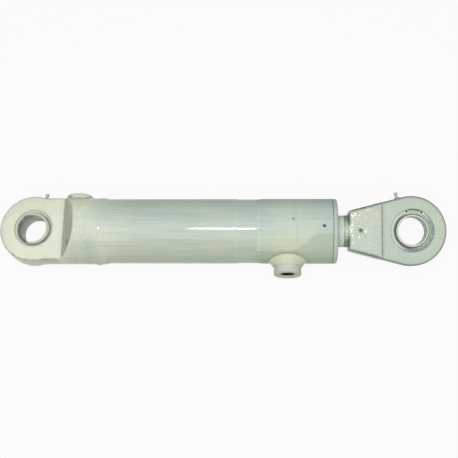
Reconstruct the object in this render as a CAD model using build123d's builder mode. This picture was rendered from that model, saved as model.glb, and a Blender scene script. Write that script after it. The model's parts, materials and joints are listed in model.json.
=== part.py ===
"""Double-acting hydraulic cylinder with a spherical bearing in each eye.

The origin is the centre of the base pin. +X runs along the cylinder towards the
rod eye and +Z is the base pin axis. The rod is modelled fully home.
"""
import os
from math import asin, atan2, cos, hypot, radians, sin, sqrt, tan

from build123d import *

# Bore, rod and stroke
bore_d = 90.0
tube_wall = 12.5
rod_d = 56.0
stroke = 250.0

# Clearances
stop_gap = 0.5  # left at each end of the stroke
slide_gap = 0.08  # radial, between a bearing strip or seal and what it runs on
metal_gap = 0.5  # radial, between metal parts that the strips keep apart
sphere_gap = 0.08  # radial, between the balls of the two bearing rings
groove_gap = 0.1  # axial play of a strip or seal in its groove

# Small chamfers and the rounded corners of squeezed O-rings
edge_chamfer = 1.0
o_ring_corner = 0.4  # of the section's thickness

# Base end forging
cap_step = 1.7  # how far the round bar stands out beyond the tube
base_eye_d = 120.0
base_flat_x = 53.8  # where the milled flats of the eye stop
shoulder_angle = 58.2  # slope of the shoulder behind the flats
cap_end_x = 127.0  # joint with the tube
spigot_len = 8.0
nut_recess_gap = 2.25  # beyond the piston nut's corners
nut_recess_depth = 9.0
eye_edge_r = 3.0
flat_chamfer = 2.0
shoulder_root_r = 5.0

# Circumferential welds
cap_weld_half = 7.5
cap_weld_root = 6.0  # wall left under the weld
cap_weld_crown = 0.9
head_weld_half = 5.0
head_weld_root = 4.0

# Head of the barrel
head_len = 128.0
band_len = 39.0  # turned-down length of tube before the head
band_depth = 0.8
head_port_inset = 11.5  # from the nose of the gland
gland_nose_len = 26.0
gland_nose_step = 5.0  # radial, below the bore
gland_land_len = 20.0
gland_relief_len = 2.0
gland_thread_len = 42.0
gland_thread_step = 2.5  # radial, beyond the bore
gland_flange_len = 8.7
gland_chamfer = 2.0
spanner_hole_d = 8.0
spanner_hole_depth = 6.0
spanner_hole_inset = 11.5  # hole centre, in from the flange's rim
spanner_hole_count = 4

# Ports
port_boss_d = 48.0
port_boss_chamfer = 1.5
port_thread_d = 25.0
port_mouth_d = 29.4
port_mouth_depth = 2.4
port_thread_depth = 20.0
oil_hole_d = 14.0
base_port_inset = 49.5  # from the joint with the tube
base_port_rise = 5.8  # boss face, above the round bar
head_port_rise = 22.9  # boss face, above the tube
port_weld_rise = 8.5  # up the boss
port_weld_long = 48.0  # half axes of the weld's footing, at the depth of the bore
port_weld_short = 31.5
port_weld_lip = 0.6

# Piston and nut
piston_len = 45.0
piston_seat_d = 40.0
piston_thread_d = 36.0
nut_flats = 55.0
nut_len = 18.0
wear_strip_w = 9.7
wear_strip_t = 2.5
wear_strip_inset = 4.0
piston_seal_w = 8.1
piston_seal_t = 3.4
energiser_t = 4.6
piston_chamfer = 1.5
rod_o_ring_w = 3.6
rod_o_ring_t = 2.7
rod_o_ring_inset = 8.0

# Gland seals and strips
rod_strip_w = 9.7
rod_strip_t = 2.5
rod_strip_inset = 8.0  # from the nose of the gland
strip_to_buffer = 12.3
buffer_to_seal = 7.7
seal_to_strip = 6.0
rod_seal_w = 10.0
rod_seal_t = 5.0
buffer_seal_w = 6.3
buffer_seal_t = 5.4
wiper_w = 7.0
wiper_t = 4.4
wiper_lip = 1.6
wiper_shoulder = 0.6  # of its thickness, where the lip starts
wiper_edge = 0.6  # thickness of the lip's tip
seal_lip = 0.25  # of a U-seal's thickness, each lip's tip
seal_notch = 0.45  # of a U-seal's width, depth of the notch
land_o_ring_w = 5.3
land_o_ring_t = 4.6
land_o_ring_inset = 5.0  # from the start of the land
backup_ring_w = 1.8

# Rod and rod eye
rod_reach = 11.8  # bare rod in front of the gland, rod home
rod_chamfer = 1.5
rod_thread_d = 42.0
rod_thread_len = 48.0
rod_thread_runout = 2.0  # thread hole beyond the rod's end
collar_len = 8.5
collar_d = 57.0
collar_flare = 1.5
neck_len = 111.0  # from the start of the block to the rod pin
neck_start_w = 70.6
neck_t = 60.0
neck_step = 54.5  # from the end of the thick neck to the rod pin
neck_corner_r = 5.2
neck_edge_r = 4.5
rod_eye_d = 123.0
rod_eye_offset = 2.0  # outline centre, behind the rod pin
rod_eye_roll = 15.0  # turn of the rod eye about the cylinder axis

# Spherical plain bearings
bearing_bore_d = 50.0
bearing_face_w = 3.0  # flat of the inner ring's face
bearing_shell = 4.48  # outer ring at its middle, which makes it 75 mm outside
bearing_inner_w = 35.0
bearing_outer_w = 28.0
bearing_chamfer = 1.0
bearing_groove_w = 4.0
bearing_groove_depth = 1.4
bearing_oil_hole_d = 3.6
bearing_lip = 3.5  # radial height of the lip that stops the bearing
bearing_lip_chamfer = 0.8
eye_cover = 5.0  # eye beyond the bearing's outer ring, each side
circlip_t = 2.5
circlip_groove_w = 2.65
circlip_groove_depth = 1.5
circlip_w = 6.3
circlip_play = 0.1
circlip_lug_r = 4.3
circlip_hole_d = 2.6
circlip_hole_depth = 3.4  # hole centre, in from the circlip's rim
circlip_hole_angle = 21.0  # each side of the eye's +y
circlip_lug_back = 3.0  # how far the band's end lies inside its lug, degrees

# Grease nipples
nipple_thread_d = 8.0
nipple_thread_len = 6.0
nipple_flats = 9.0
nipple_hex_len = 4.0
nipple_neck_d = 4.4
nipple_head_d = 6.6
nipple_head_len = 3.1
nipple_cone_len = 1.0
nipple_lip = 1.0  # flat round the mouth
nipple_nose = 1.3
nipple_len = 13.2
nipple_chamber_d = 3.4
nipple_mouth_d = 2.0
nipple_seat_depth = 1.7
nipple_ball_d = 3.2
nipple_ball_gap = 0.05
nipple_spot_d = 12.0
grease_hole_d = 4.0
nipple_hole_extra = 1.0  # thread hole beyond the nipple's end
grease_hole_extra = 1.0  # overrun into the bearing's seat
base_nipple_angle = 13.6  # from +Y towards the tube
base_nipple_sink = 1.4  # depth of its spot face in the round bar
rod_nipple_back = 24.4  # behind the rod pin
rod_nipple_sink = 1.2  # depth of its spot face in the flank

# Locking screws
lock_screw_d = 6.0
gland_lock_len = 10.0
eye_lock_len = 7.0
lock_screw_socket = 3.0
lock_screw_socket_depth = 2.5
gland_lock_x = 15.8  # from the end of the head tube
gland_lock_angle = 8.3  # from +Z towards -Y
gland_lock_bite = 3.5
eye_lock_x = 20.0  # from the start of the block

# Sizes that follow
bore_r = bore_d / 2
tube_r = bore_r + tube_wall
rod_r = rod_d / 2
cap_r = tube_r + cap_step
band_r = tube_r - band_depth
thread_r = bore_r + gland_thread_step

cap_face_x = cap_end_x + spigot_len
recess_x = cap_face_x - nut_recess_depth
nut_x = recess_x + stop_gap
piston_x = nut_x + nut_len
rod_shoulder_x = piston_x + piston_len
nose_x = rod_shoulder_x + stroke + stop_gap
land_x = nose_x + gland_nose_len
thread_x = land_x + gland_land_len + gland_relief_len
tube_end_x = thread_x + gland_thread_len
gland_face_x = tube_end_x + gland_flange_len
head_x = tube_end_x - head_len
band_x = head_x - band_len
head_port_x = nose_x + head_port_inset
rod_end_x = gland_face_x + rod_reach
block_x = rod_end_x + collar_len
pin_x = block_x + neck_len
step_x = pin_x - neck_step

base_port_x = cap_end_x - base_port_inset
base_port_top = cap_r + base_port_rise
head_port_top = tube_r + head_port_rise

bearing_bore_r = bearing_bore_d / 2
outer_half = bearing_outer_w / 2
inner_half = bearing_inner_w / 2
bearing_face_r = bearing_bore_r + bearing_face_w
ball_r = hypot(bearing_face_r, inner_half)
bearing_r = ball_r + bearing_shell
circlip_groove_r = bearing_r + circlip_groove_depth
eye_half = outer_half + eye_cover

nut_r = nut_flats / 2
nut_corner_r = nut_r / cos(radians(30))
nut_recess_r = nut_corner_r + nut_recess_gap

face_margin = 0.1  # tells edges on a face from those behind it

# Each eye's own frame: x along the cylinder, z along its pin
base_eye_plane = Plane.XY
rod_pin_dir = (0, -sin(radians(rod_eye_roll)), cos(radians(rod_eye_roll)))
rod_eye_plane = Plane(origin=(pin_x, 0, 0), x_dir=(1, 0, 0), z_dir=rod_pin_dir)

os.makedirs("parts", exist_ok=True)


def save(part, label):
    """Label a finished piece and write it to its own file."""
    part.label = label
    export_step(part, f"parts/{label}.step")


def ring_section(x_start, x_end, inner_r, outer_r):
    """Half section of a plain ring about the cylinder axis."""
    with BuildSketch(Plane.XZ) as section:
        with Locations(((x_start + x_end) / 2, (inner_r + outer_r) / 2)):
            Rectangle(x_end - x_start, outer_r - inner_r)
    return section.sketch


def half_section(points):
    """Half section about the cylinder axis, from its corner points."""
    with BuildSketch(Plane.XZ) as section:
        with BuildLine():
            Polyline(*points, close=True)
        make_face()
    return section.sketch


def pin_section_plane(eye_plane):
    """Plane through an eye's pin axis: its x is the eye's x, its y the pin axis."""
    return Plane(origin=eye_plane.origin, x_dir=eye_plane.x_dir, z_dir=-eye_plane.y_dir)


def pin_axis(eye_plane):
    return Axis(eye_plane.origin, eye_plane.z_dir)


def side_plane(eye_plane, origin, direction):
    """Plane in an eye's frame whose normal lies in the eye's xy plane."""
    place = eye_plane.from_local_coords(Vector(*origin))
    normal = eye_plane.x_dir * direction[0] + eye_plane.y_dir * direction[1]
    return Plane(origin=place, x_dir=eye_plane.z_dir, z_dir=normal)


def rounded_disc_section(eye_plane, radius):
    """Half section of an eye's round end about its pin, with rounded rims."""
    with BuildSketch(pin_section_plane(eye_plane)) as section:
        with Locations((radius / 2, 0)):
            Rectangle(radius, 2 * eye_half)
        fillet(section.vertices().group_by(Axis.X)[-1], radius=eye_edge_r)
    return section.sketch


def bearing_seat_section(eye_plane, lip_side):
    """Section cut out of an eye for its bearing: bore, circlip groove and lip.

    lip_side is +1 where the lip is on the +z side of the eye and -1 elsewhere.
    """
    lip_r = bearing_r - bearing_lip
    groove_end = outer_half + circlip_groove_w
    flare_r = bearing_r + bearing_chamfer
    points = [
        (0, -eye_half),
        (flare_r, -eye_half),
        (bearing_r, -eye_half + bearing_chamfer),
        (bearing_r, -groove_end),
        (circlip_groove_r, -groove_end),
        (circlip_groove_r, -outer_half),
        (bearing_r, -outer_half),
        (bearing_r, outer_half),
        (lip_r, outer_half),
        (lip_r, eye_half - bearing_lip_chamfer),
        (lip_r + bearing_lip_chamfer, eye_half),
        (0, eye_half),
    ]
    with BuildSketch(pin_section_plane(eye_plane)) as section:
        with BuildLine():
            Polyline(*[(r, lip_side * z) for r, z in points], close=True)
        make_face()
    return section.sketch


def port_section(plane, depth):
    """Section of a port about the plane's y axis: mouth, thread and oil hole."""
    mouth_r = port_mouth_d / 2
    thread_r = port_thread_d / 2
    oil_r = oil_hole_d / 2
    with BuildSketch(plane) as section:
        with BuildLine():
            Polyline(
                (0, 0),
                (mouth_r, 0),
                (thread_r, -port_mouth_depth),
                (thread_r, -port_thread_depth),
                (oil_r, -port_thread_depth - (thread_r - oil_r) / 2),
                (oil_r, -depth),
                (0, -depth),
                close=True,
            )
        make_face()
    return section.sketch


# Base end: a round bar with an eye milled at one end and a spigot at the other
past_cap = cap_r + face_margin
past_shoulder_x = base_flat_x + (past_cap - eye_half) / tan(radians(shoulder_angle))
base_nipple_dir = (sin(radians(base_nipple_angle)), cos(radians(base_nipple_angle)))
base_nipple_seat = max(base_eye_d / 2, cap_r / base_nipple_dir[1]) - base_nipple_sink
base_nipple_plane = side_plane(
    base_eye_plane,
    (base_nipple_seat * base_nipple_dir[0], base_nipple_seat * base_nipple_dir[1], 0),
    base_nipple_dir,
)
base_port_plane = Plane(origin=(base_port_x, base_port_top, 0), x_dir=(1, 0, 0), z_dir=(0, 0, 1))

with BuildPart() as base_end:
    revolve(
        half_section(
            [
                (0, 0),
                (0, cap_r),
                (cap_end_x - cap_weld_half, cap_r),
                (cap_end_x, bore_r + cap_weld_root),
                (cap_end_x, bore_r),
                (cap_face_x - edge_chamfer, bore_r),
                (cap_face_x, bore_r - edge_chamfer),
                (cap_face_x, 0),
            ]
        ),
        axis=Axis.X,
    )
    with BuildSketch(Plane.XZ) as flats:
        with BuildLine():
            Polyline(
                (0, -eye_half),
                (0, eye_half),
                (base_flat_x, eye_half),
                (past_shoulder_x, past_cap),
                (cap_face_x, past_cap),
                (cap_face_x, -past_cap),
                (past_shoulder_x, -past_cap),
                (base_flat_x, -eye_half),
                close=True,
            )
        make_face()
    extrude(amount=2 * cap_r, both=True, mode=Mode.INTERSECT)
    flat_corners = base_end.edges().filter_by(Axis.X).filter_by_position(
        Axis.X, 0, base_flat_x
    )
    chamfer(flat_corners, length=flat_chamfer)
    roots = base_end.edges().filter_by(Axis.Y).filter_by_position(
        Axis.X, base_flat_x - face_margin, base_flat_x + face_margin
    )
    fillet(roots, radius=shoulder_root_r)
    revolve(rounded_disc_section(base_eye_plane, base_eye_d / 2), axis=Axis.Z)
    with Locations(Plane(origin=(base_port_x, 0, 0), z_dir=(0, 1, 0))):
        Cylinder(port_boss_d / 2, base_port_top, align=(Align.CENTER, Align.CENTER, Align.MIN))
    port_rim = base_end.edges().filter_by(GeomType.CIRCLE).sort_by(Axis.Y)[-1]
    chamfer(port_rim, length=port_boss_chamfer)
    revolve(
        bearing_seat_section(base_eye_plane, 1),
        axis=pin_axis(base_eye_plane),
        mode=Mode.SUBTRACT,
    )
    revolve(
        port_section(base_port_plane, base_port_top + oil_hole_d / 2),
        axis=Axis((base_port_x, 0, 0), (0, 1, 0)),
        mode=Mode.SUBTRACT,
    )
    revolve(ring_section(base_port_x, recess_x, 0, oil_hole_d / 2), axis=Axis.X, mode=Mode.SUBTRACT)
    revolve(ring_section(recess_x, cap_face_x, 0, nut_recess_r), axis=Axis.X, mode=Mode.SUBTRACT)
    with Locations(base_nipple_plane):
        Cylinder(
            nipple_spot_d / 2, nipple_len,
            align=(Align.CENTER, Align.CENTER, Align.MIN), mode=Mode.SUBTRACT,
        )
        Cylinder(
            nipple_thread_d / 2, nipple_thread_len + nipple_hole_extra,
            align=(Align.CENTER, Align.CENTER, Align.MAX), mode=Mode.SUBTRACT,
        )
        Cylinder(
            grease_hole_d / 2, base_nipple_seat - bearing_r + grease_hole_extra,
            align=(Align.CENTER, Align.CENTER, Align.MAX), mode=Mode.SUBTRACT,
        )
save(base_end.part, "base_end")


# Barrel tube: bevelled for both welds, with a turned-down band before the head
with BuildPart() as barrel_tube:
    revolve(
        half_section(
            [
                (cap_end_x, bore_r),
                (cap_end_x, bore_r + cap_weld_root),
                (cap_end_x + cap_weld_half, tube_r),
                (band_x, tube_r),
                (band_x, band_r),
                (head_x - head_weld_half, band_r),
                (head_x, bore_r + head_weld_root),
                (head_x, bore_r),
            ]
        ),
        axis=Axis.X,
    )
save(barrel_tube.part, "barrel_tube")

# Weld between the base end and the tube: fills the bevels and crowns over them
with BuildPart() as base_end_weld:
    with BuildSketch(Plane.XZ):
        with BuildLine():
            Polyline(
                (cap_end_x - cap_weld_half, cap_r),
                (cap_end_x, bore_r + cap_weld_root),
                (cap_end_x + cap_weld_half, tube_r),
            )
            ThreePointArc(
                (cap_end_x + cap_weld_half, tube_r),
                (cap_end_x, (cap_r + tube_r) / 2 + cap_weld_crown),
                (cap_end_x - cap_weld_half, cap_r),
            )
        make_face()
    revolve(axis=Axis.X)
save(base_end_weld.part, "base_end_weld")

# Weld between the tube and the head, dressed flush with both
head_step_x = head_x + head_weld_half / 2
with BuildPart() as head_weld:
    revolve(
        half_section(
            [
                (head_x - head_weld_half, band_r),
                (head_x, bore_r + head_weld_root),
                (head_x + head_weld_half, tube_r),
                (head_step_x, tube_r),
                (head_step_x, band_r),
            ]
        ),
        axis=Axis.X,
    )
save(head_weld.part, "head_weld")

# Head of the barrel: bore for the gland's land, thread, port hole and screw hole
head_port_axis = Axis((head_port_x, 0, 0), (0, -1, 0))
gland_lock_dir = (0, -sin(radians(gland_lock_angle)), cos(radians(gland_lock_angle)))
gland_lock_plane = Plane(origin=(tube_end_x - gland_lock_x, 0, 0), x_dir=(1, 0, 0), z_dir=gland_lock_dir)
with BuildPart() as barrel_head:
    revolve(
        half_section(
            [
                (head_x, bore_r),
                (head_x, bore_r + head_weld_root),
                (head_x + head_weld_half, tube_r),
                (tube_end_x, tube_r),
                (tube_end_x, thread_r),
                (thread_x, thread_r),
                (thread_x - gland_relief_len, bore_r),
            ]
        ),
        axis=Axis.X,
    )
    with Locations(Plane(origin=(head_port_x, 0, 0), z_dir=(0, -1, 0))):
        Cylinder(
            oil_hole_d / 2, head_port_top,
            align=(Align.CENTER, Align.CENTER, Align.MIN), mode=Mode.SUBTRACT,
        )
    with Locations(gland_lock_plane):
        Cylinder(
            lock_screw_d / 2, cap_r,
            align=(Align.CENTER, Align.CENTER, Align.MIN), mode=Mode.SUBTRACT,
        )
save(barrel_head.part, "barrel_head")

# Head port: a turned boss saddled on the barrel
head_port_plane = Plane(origin=(head_port_x, -head_port_top, 0), x_dir=(1, 0, 0), z_dir=(0, 0, -1))
with BuildPart() as head_port_boss:
    with Locations(Plane(origin=(head_port_x, 0, 0), z_dir=(0, -1, 0))):
        Cylinder(port_boss_d / 2, head_port_top, align=(Align.CENTER, Align.CENTER, Align.MIN))
    chamfer(head_port_boss.edges().sort_by(Axis.Y)[0], length=port_boss_chamfer)
    revolve(ring_section(nose_x - port_boss_d, gland_face_x, 0, tube_r), axis=Axis.X, mode=Mode.SUBTRACT)
    revolve(port_section(head_port_plane, head_port_top - bore_r), axis=head_port_axis, mode=Mode.SUBTRACT)
save(head_port_boss.part, "head_port_boss")

# Fillet weld round the port boss, following the saddle
across_port = Plane(origin=(head_port_x, 0, 0), x_dir=(1, 0, 0), z_dir=(0, 1, 0))
with BuildPart() as head_port_weld:
    with BuildSketch(across_port.offset(-tube_r - port_weld_rise)):
        Circle(port_boss_d / 2 + port_weld_lip)
    with BuildSketch(across_port.offset(-bore_r)):
        Ellipse(port_weld_long, port_weld_short)
    loft(ruled=True)
    revolve(
        ring_section(nose_x - 2 * port_weld_long, gland_face_x, 0, tube_r),
        axis=Axis.X,
        mode=Mode.SUBTRACT,
    )
    with Locations(Plane(origin=(head_port_x, 0, 0), z_dir=(0, -1, 0))):
        Cylinder(
            port_boss_d / 2, 2 * cap_r,
            align=(Align.CENTER, Align.CENTER, Align.MIN), mode=Mode.SUBTRACT,
        )
save(head_port_weld.part, "head_port_weld")

# Gland: nose, sealing land, thread and flange outside; strip and seal grooves inside
gland_bore_r = rod_r + metal_gap
gland_nose_r = bore_r - gland_nose_step
land_groove_x = land_x + land_o_ring_inset
inner_strip_x = nose_x + rod_strip_inset
buffer_seal_x = inner_strip_x + rod_strip_w + strip_to_buffer
rod_seal_x = buffer_seal_x + buffer_seal_w + buffer_to_seal
outer_strip_x = rod_seal_x + rod_seal_w + seal_to_strip
gland_grooves = {
    "rod_strip_inner": (inner_strip_x, rod_strip_w, rod_strip_t),
    "buffer_seal": (buffer_seal_x, buffer_seal_w, buffer_seal_t),
    "rod_seal": (rod_seal_x, rod_seal_w, rod_seal_t),
    "rod_strip_outer": (outer_strip_x, rod_strip_w, rod_strip_t),
}
with BuildPart() as gland:
    revolve(
        half_section(
            [
                (nose_x, gland_bore_r),
                (nose_x, gland_nose_r),
                (land_x, gland_nose_r),
                (land_x, bore_r - slide_gap),
                (thread_x - gland_relief_len, bore_r - slide_gap),
                (thread_x, thread_r - slide_gap),
                (tube_end_x, thread_r - slide_gap),
                (tube_end_x, tube_r),
                (gland_face_x - gland_chamfer, tube_r),
                (gland_face_x, tube_r - gland_chamfer),
                (gland_face_x, gland_bore_r),
            ]
        ),
        axis=Axis.X,
    )
    for groove_x, width, depth in gland_grooves.values():
        revolve(
            ring_section(groove_x - groove_gap, groove_x + width + groove_gap, 0, rod_r + depth),
            axis=Axis.X,
            mode=Mode.SUBTRACT,
        )
    revolve(
        ring_section(gland_face_x - wiper_w, gland_face_x, 0, rod_r + wiper_t),
        axis=Axis.X,
        mode=Mode.SUBTRACT,
    )
    revolve(
        ring_section(
            land_groove_x - groove_gap,
            land_groove_x + land_o_ring_w + backup_ring_w + groove_gap,
            bore_r - land_o_ring_t,
            bore_r,
        ),
        axis=Axis.X,
        mode=Mode.SUBTRACT,
    )
    with Locations(Plane(origin=(gland_face_x, 0, 0), z_dir=(1, 0, 0))):
        with PolarLocations(tube_r - spanner_hole_inset, spanner_hole_count, start_angle=45):
            Hole(spanner_hole_d / 2, depth=spanner_hole_depth)
    with Locations(gland_lock_plane):
        with Locations((0, 0, thread_r - gland_lock_bite)):
            Cylinder(
                lock_screw_d / 2, cap_r,
                align=(Align.CENTER, Align.CENTER, Align.MIN), mode=Mode.SUBTRACT,
            )
save(gland.part, "gland")


# Piston rod: nut thread, piston seat, full diameter and the rod eye's thread
seat_r = piston_seat_d / 2
rod_thread_r = rod_thread_d / 2
rod_thread_end_x = rod_end_x + rod_thread_len
rod_o_ring_x = piston_x + rod_o_ring_inset
with BuildPart() as piston_rod:
    revolve(
        half_section(
            [
                (nut_x, 0),
                (nut_x, piston_thread_d / 2 - edge_chamfer),
                (nut_x + edge_chamfer, piston_thread_d / 2),
                (piston_x, piston_thread_d / 2),
                (piston_x, seat_r),
                (rod_shoulder_x, seat_r),
                (rod_shoulder_x, rod_r),
                (rod_end_x - rod_chamfer, rod_r),
                (rod_end_x, rod_r - rod_chamfer),
                (rod_end_x, rod_thread_r),
                (rod_thread_end_x - edge_chamfer, rod_thread_r),
                (rod_thread_end_x, rod_thread_r - edge_chamfer),
                (rod_thread_end_x, 0),
            ]
        ),
        axis=Axis.X,
    )
    revolve(
        ring_section(rod_o_ring_x, rod_o_ring_x + rod_o_ring_w, seat_r - rod_o_ring_t, seat_r),
        axis=Axis.X,
        mode=Mode.SUBTRACT,
    )
save(piston_rod.part, "piston_rod")

# Piston, with grooves for its two wear strips and its seal
strip_r = bore_r - slide_gap  # outside of all that runs in the bore
wear_strip_starts = (
    piston_x + wear_strip_inset,
    rod_shoulder_x - wear_strip_inset - wear_strip_w,
)
piston_seal_x = piston_x + (piston_len - piston_seal_w) / 2
piston_r = bore_r - metal_gap
with BuildPart() as piston:
    revolve(
        half_section(
            [
                (piston_x, seat_r),
                (piston_x, piston_r - piston_chamfer),
                (piston_x + piston_chamfer, piston_r),
                (rod_shoulder_x - piston_chamfer, piston_r),
                (rod_shoulder_x, piston_r - piston_chamfer),
                (rod_shoulder_x, seat_r),
            ]
        ),
        axis=Axis.X,
    )
    for strip_x in wear_strip_starts:
        revolve(
            ring_section(
                strip_x - groove_gap,
                strip_x + wear_strip_w + groove_gap,
                strip_r - wear_strip_t - slide_gap,
                bore_r,
            ),
            axis=Axis.X,
            mode=Mode.SUBTRACT,
        )
    revolve(
        ring_section(
            piston_seal_x - groove_gap,
            piston_seal_x + piston_seal_w + groove_gap,
            strip_r - piston_seal_t - energiser_t - slide_gap,
            bore_r,
        ),
        axis=Axis.X,
        mode=Mode.SUBTRACT,
    )
save(piston.part, "piston")

# Hexagon nut that holds the piston on the rod
nut_chamfer_x = (nut_corner_r - nut_r) * tan(radians(30))
with BuildPart() as piston_nut:
    with BuildSketch(Plane(origin=(nut_x, 0, 0), x_dir=(0, 1, 0), z_dir=(1, 0, 0))):
        RegularPolygon(nut_r, 6, major_radius=False)
        Circle(piston_thread_d / 2, mode=Mode.SUBTRACT)
    extrude(amount=nut_len)
    revolve(
        half_section(
            [
                (nut_x, 0),
                (nut_x, nut_r),
                (nut_x + nut_chamfer_x, nut_corner_r),
                (piston_x - nut_chamfer_x, nut_corner_r),
                (piston_x, nut_r),
                (piston_x, 0),
            ]
        ),
        axis=Axis.X,
        mode=Mode.INTERSECT,
    )
save(piston_nut.part, "piston_nut")

# What seals and guides the piston in the bore
with BuildPart() as piston_wear_strips:
    for strip_x in wear_strip_starts:
        revolve(
            ring_section(strip_x, strip_x + wear_strip_w, strip_r - wear_strip_t, strip_r),
            axis=Axis.X,
        )
save(piston_wear_strips.part, "piston_wear_strips")

piston_seal_end = piston_seal_x + piston_seal_w
with BuildPart() as piston_seal:
    revolve(
        ring_section(piston_seal_x, piston_seal_end, strip_r - piston_seal_t, strip_r),
        axis=Axis.X,
    )
save(piston_seal.part, "piston_seal")

energiser_r = strip_r - piston_seal_t
with BuildPart() as piston_seal_energiser:
    with BuildSketch(Plane.XZ):
        with Locations(((piston_seal_x + piston_seal_end) / 2, energiser_r - energiser_t / 2)):
            RectangleRounded(piston_seal_w, energiser_t, energiser_t * o_ring_corner)
    revolve(axis=Axis.X)
save(piston_seal_energiser.part, "piston_seal_energiser")

with BuildPart() as piston_o_ring:
    with BuildSketch(Plane.XZ):
        with Locations((rod_o_ring_x + rod_o_ring_w / 2, seat_r - rod_o_ring_t / 2)):
            RectangleRounded(rod_o_ring_w, rod_o_ring_t, rod_o_ring_t * o_ring_corner)
    revolve(axis=Axis.X)
save(piston_o_ring.part, "piston_o_ring")

# What seals and guides the rod in the gland
run_r = rod_r + slide_gap  # inside of all that runs on the rod
with BuildPart() as rod_guide_strips:
    for name in ("rod_strip_inner", "rod_strip_outer"):
        groove_x, width, depth = gland_grooves[name]
        revolve(ring_section(groove_x, groove_x + width, run_r, rod_r + depth), axis=Axis.X)
save(rod_guide_strips.part, "rod_guide_strips")


def lip_seal_section(start_x, width, depth):
    """Section of a U-shaped ring, its open side towards the pressure."""
    middle_r = run_r + (depth - slide_gap) / 2
    lip = depth * seal_lip
    return half_section(
        [
            (start_x, run_r),
            (start_x, run_r + lip),
            (start_x + width * seal_notch, middle_r),
            (start_x, rod_r + depth - lip),
            (start_x, rod_r + depth),
            (start_x + width, rod_r + depth),
            (start_x + width, run_r),
        ]
    )


with BuildPart() as rod_seal:
    revolve(lip_seal_section(*gland_grooves["rod_seal"]), axis=Axis.X)
save(rod_seal.part, "rod_seal")

with BuildPart() as rod_buffer_seal:
    revolve(lip_seal_section(*gland_grooves["buffer_seal"]), axis=Axis.X)
save(rod_buffer_seal.part, "rod_buffer_seal")

wiper_x = gland_face_x - wiper_w
with BuildPart() as rod_wiper:
    revolve(
        half_section(
            [
                (wiper_x, run_r),
                (wiper_x, rod_r + wiper_t),
                (gland_face_x, rod_r + wiper_t),
                (gland_face_x, rod_r + wiper_t * wiper_shoulder),
                (gland_face_x + wiper_lip, run_r + wiper_edge),
                (gland_face_x + wiper_lip, run_r),
            ]
        ),
        axis=Axis.X,
    )
save(rod_wiper.part, "rod_wiper")

# Static seal of the gland in the head's bore
with BuildPart() as gland_o_ring:
    with BuildSketch(Plane.XZ):
        with Locations((land_groove_x + land_o_ring_w / 2, bore_r - land_o_ring_t / 2)):
            RectangleRounded(land_o_ring_w, land_o_ring_t, land_o_ring_t * o_ring_corner)
    revolve(axis=Axis.X)
save(gland_o_ring.part, "gland_o_ring")

backup_x = land_groove_x + land_o_ring_w
with BuildPart() as gland_backup_ring:
    revolve(
        ring_section(backup_x, backup_x + backup_ring_w, bore_r - land_o_ring_t, bore_r),
        axis=Axis.X,
    )
save(gland_backup_ring.part, "gland_backup_ring")

# Rod eye: a tapered neck that widens tangent to the round eye
eye_r = rod_eye_d / 2
start_half = neck_start_w / 2
outline_back = neck_len - rod_eye_offset
reach = hypot(outline_back, start_half)
flank_angle = asin(eye_r / reach) - atan2(start_half, outline_back)
tangent_x = -rod_eye_offset - eye_r * sin(flank_angle)
tangent_y = eye_r * cos(flank_angle)
step_half = start_half + (neck_len - neck_step) * tan(flank_angle)
plate_back = (neck_len + neck_step) / 2  # the eye's plate starts inside the thick neck
plate_half = (start_half + step_half) / 2
rod_pin_axis = pin_axis(rod_eye_plane)
flank_dir = (-sin(flank_angle), cos(flank_angle))
nipple_y = start_half + (neck_len - rod_nipple_back) * tan(flank_angle)
rod_nipple_plane = side_plane(
    rod_eye_plane,
    (-rod_nipple_back - rod_nipple_sink * flank_dir[0], nipple_y - rod_nipple_sink * flank_dir[1], 0),
    flank_dir,
)
nipple_line_offset = rod_nipple_back * cos(flank_angle) - nipple_y * sin(flank_angle)
nipple_line_run = rod_nipple_back * sin(flank_angle) + nipple_y * cos(flank_angle)
eye_lock_plane = Plane(origin=(block_x + eye_lock_x, 0, 0), x_dir=(1, 0, 0), z_dir=rod_pin_dir)

with BuildPart() as rod_eye_plate:
    with BuildSketch(rod_eye_plane):
        with BuildLine():
            Polyline(
                (tangent_x, -tangent_y),
                (-plate_back, -plate_half),
                (-plate_back, plate_half),
                (tangent_x, tangent_y),
            )
            ThreePointArc(
                (tangent_x, tangent_y),
                (eye_r - rod_eye_offset, 0),
                (tangent_x, -tangent_y),
            )
        make_face()
    extrude(amount=eye_half, both=True)
    rims = rod_eye_plate.edges().group_by(rod_pin_axis)
    fillet(rims[0] + rims[-1], radius=neck_edge_r)

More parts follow.
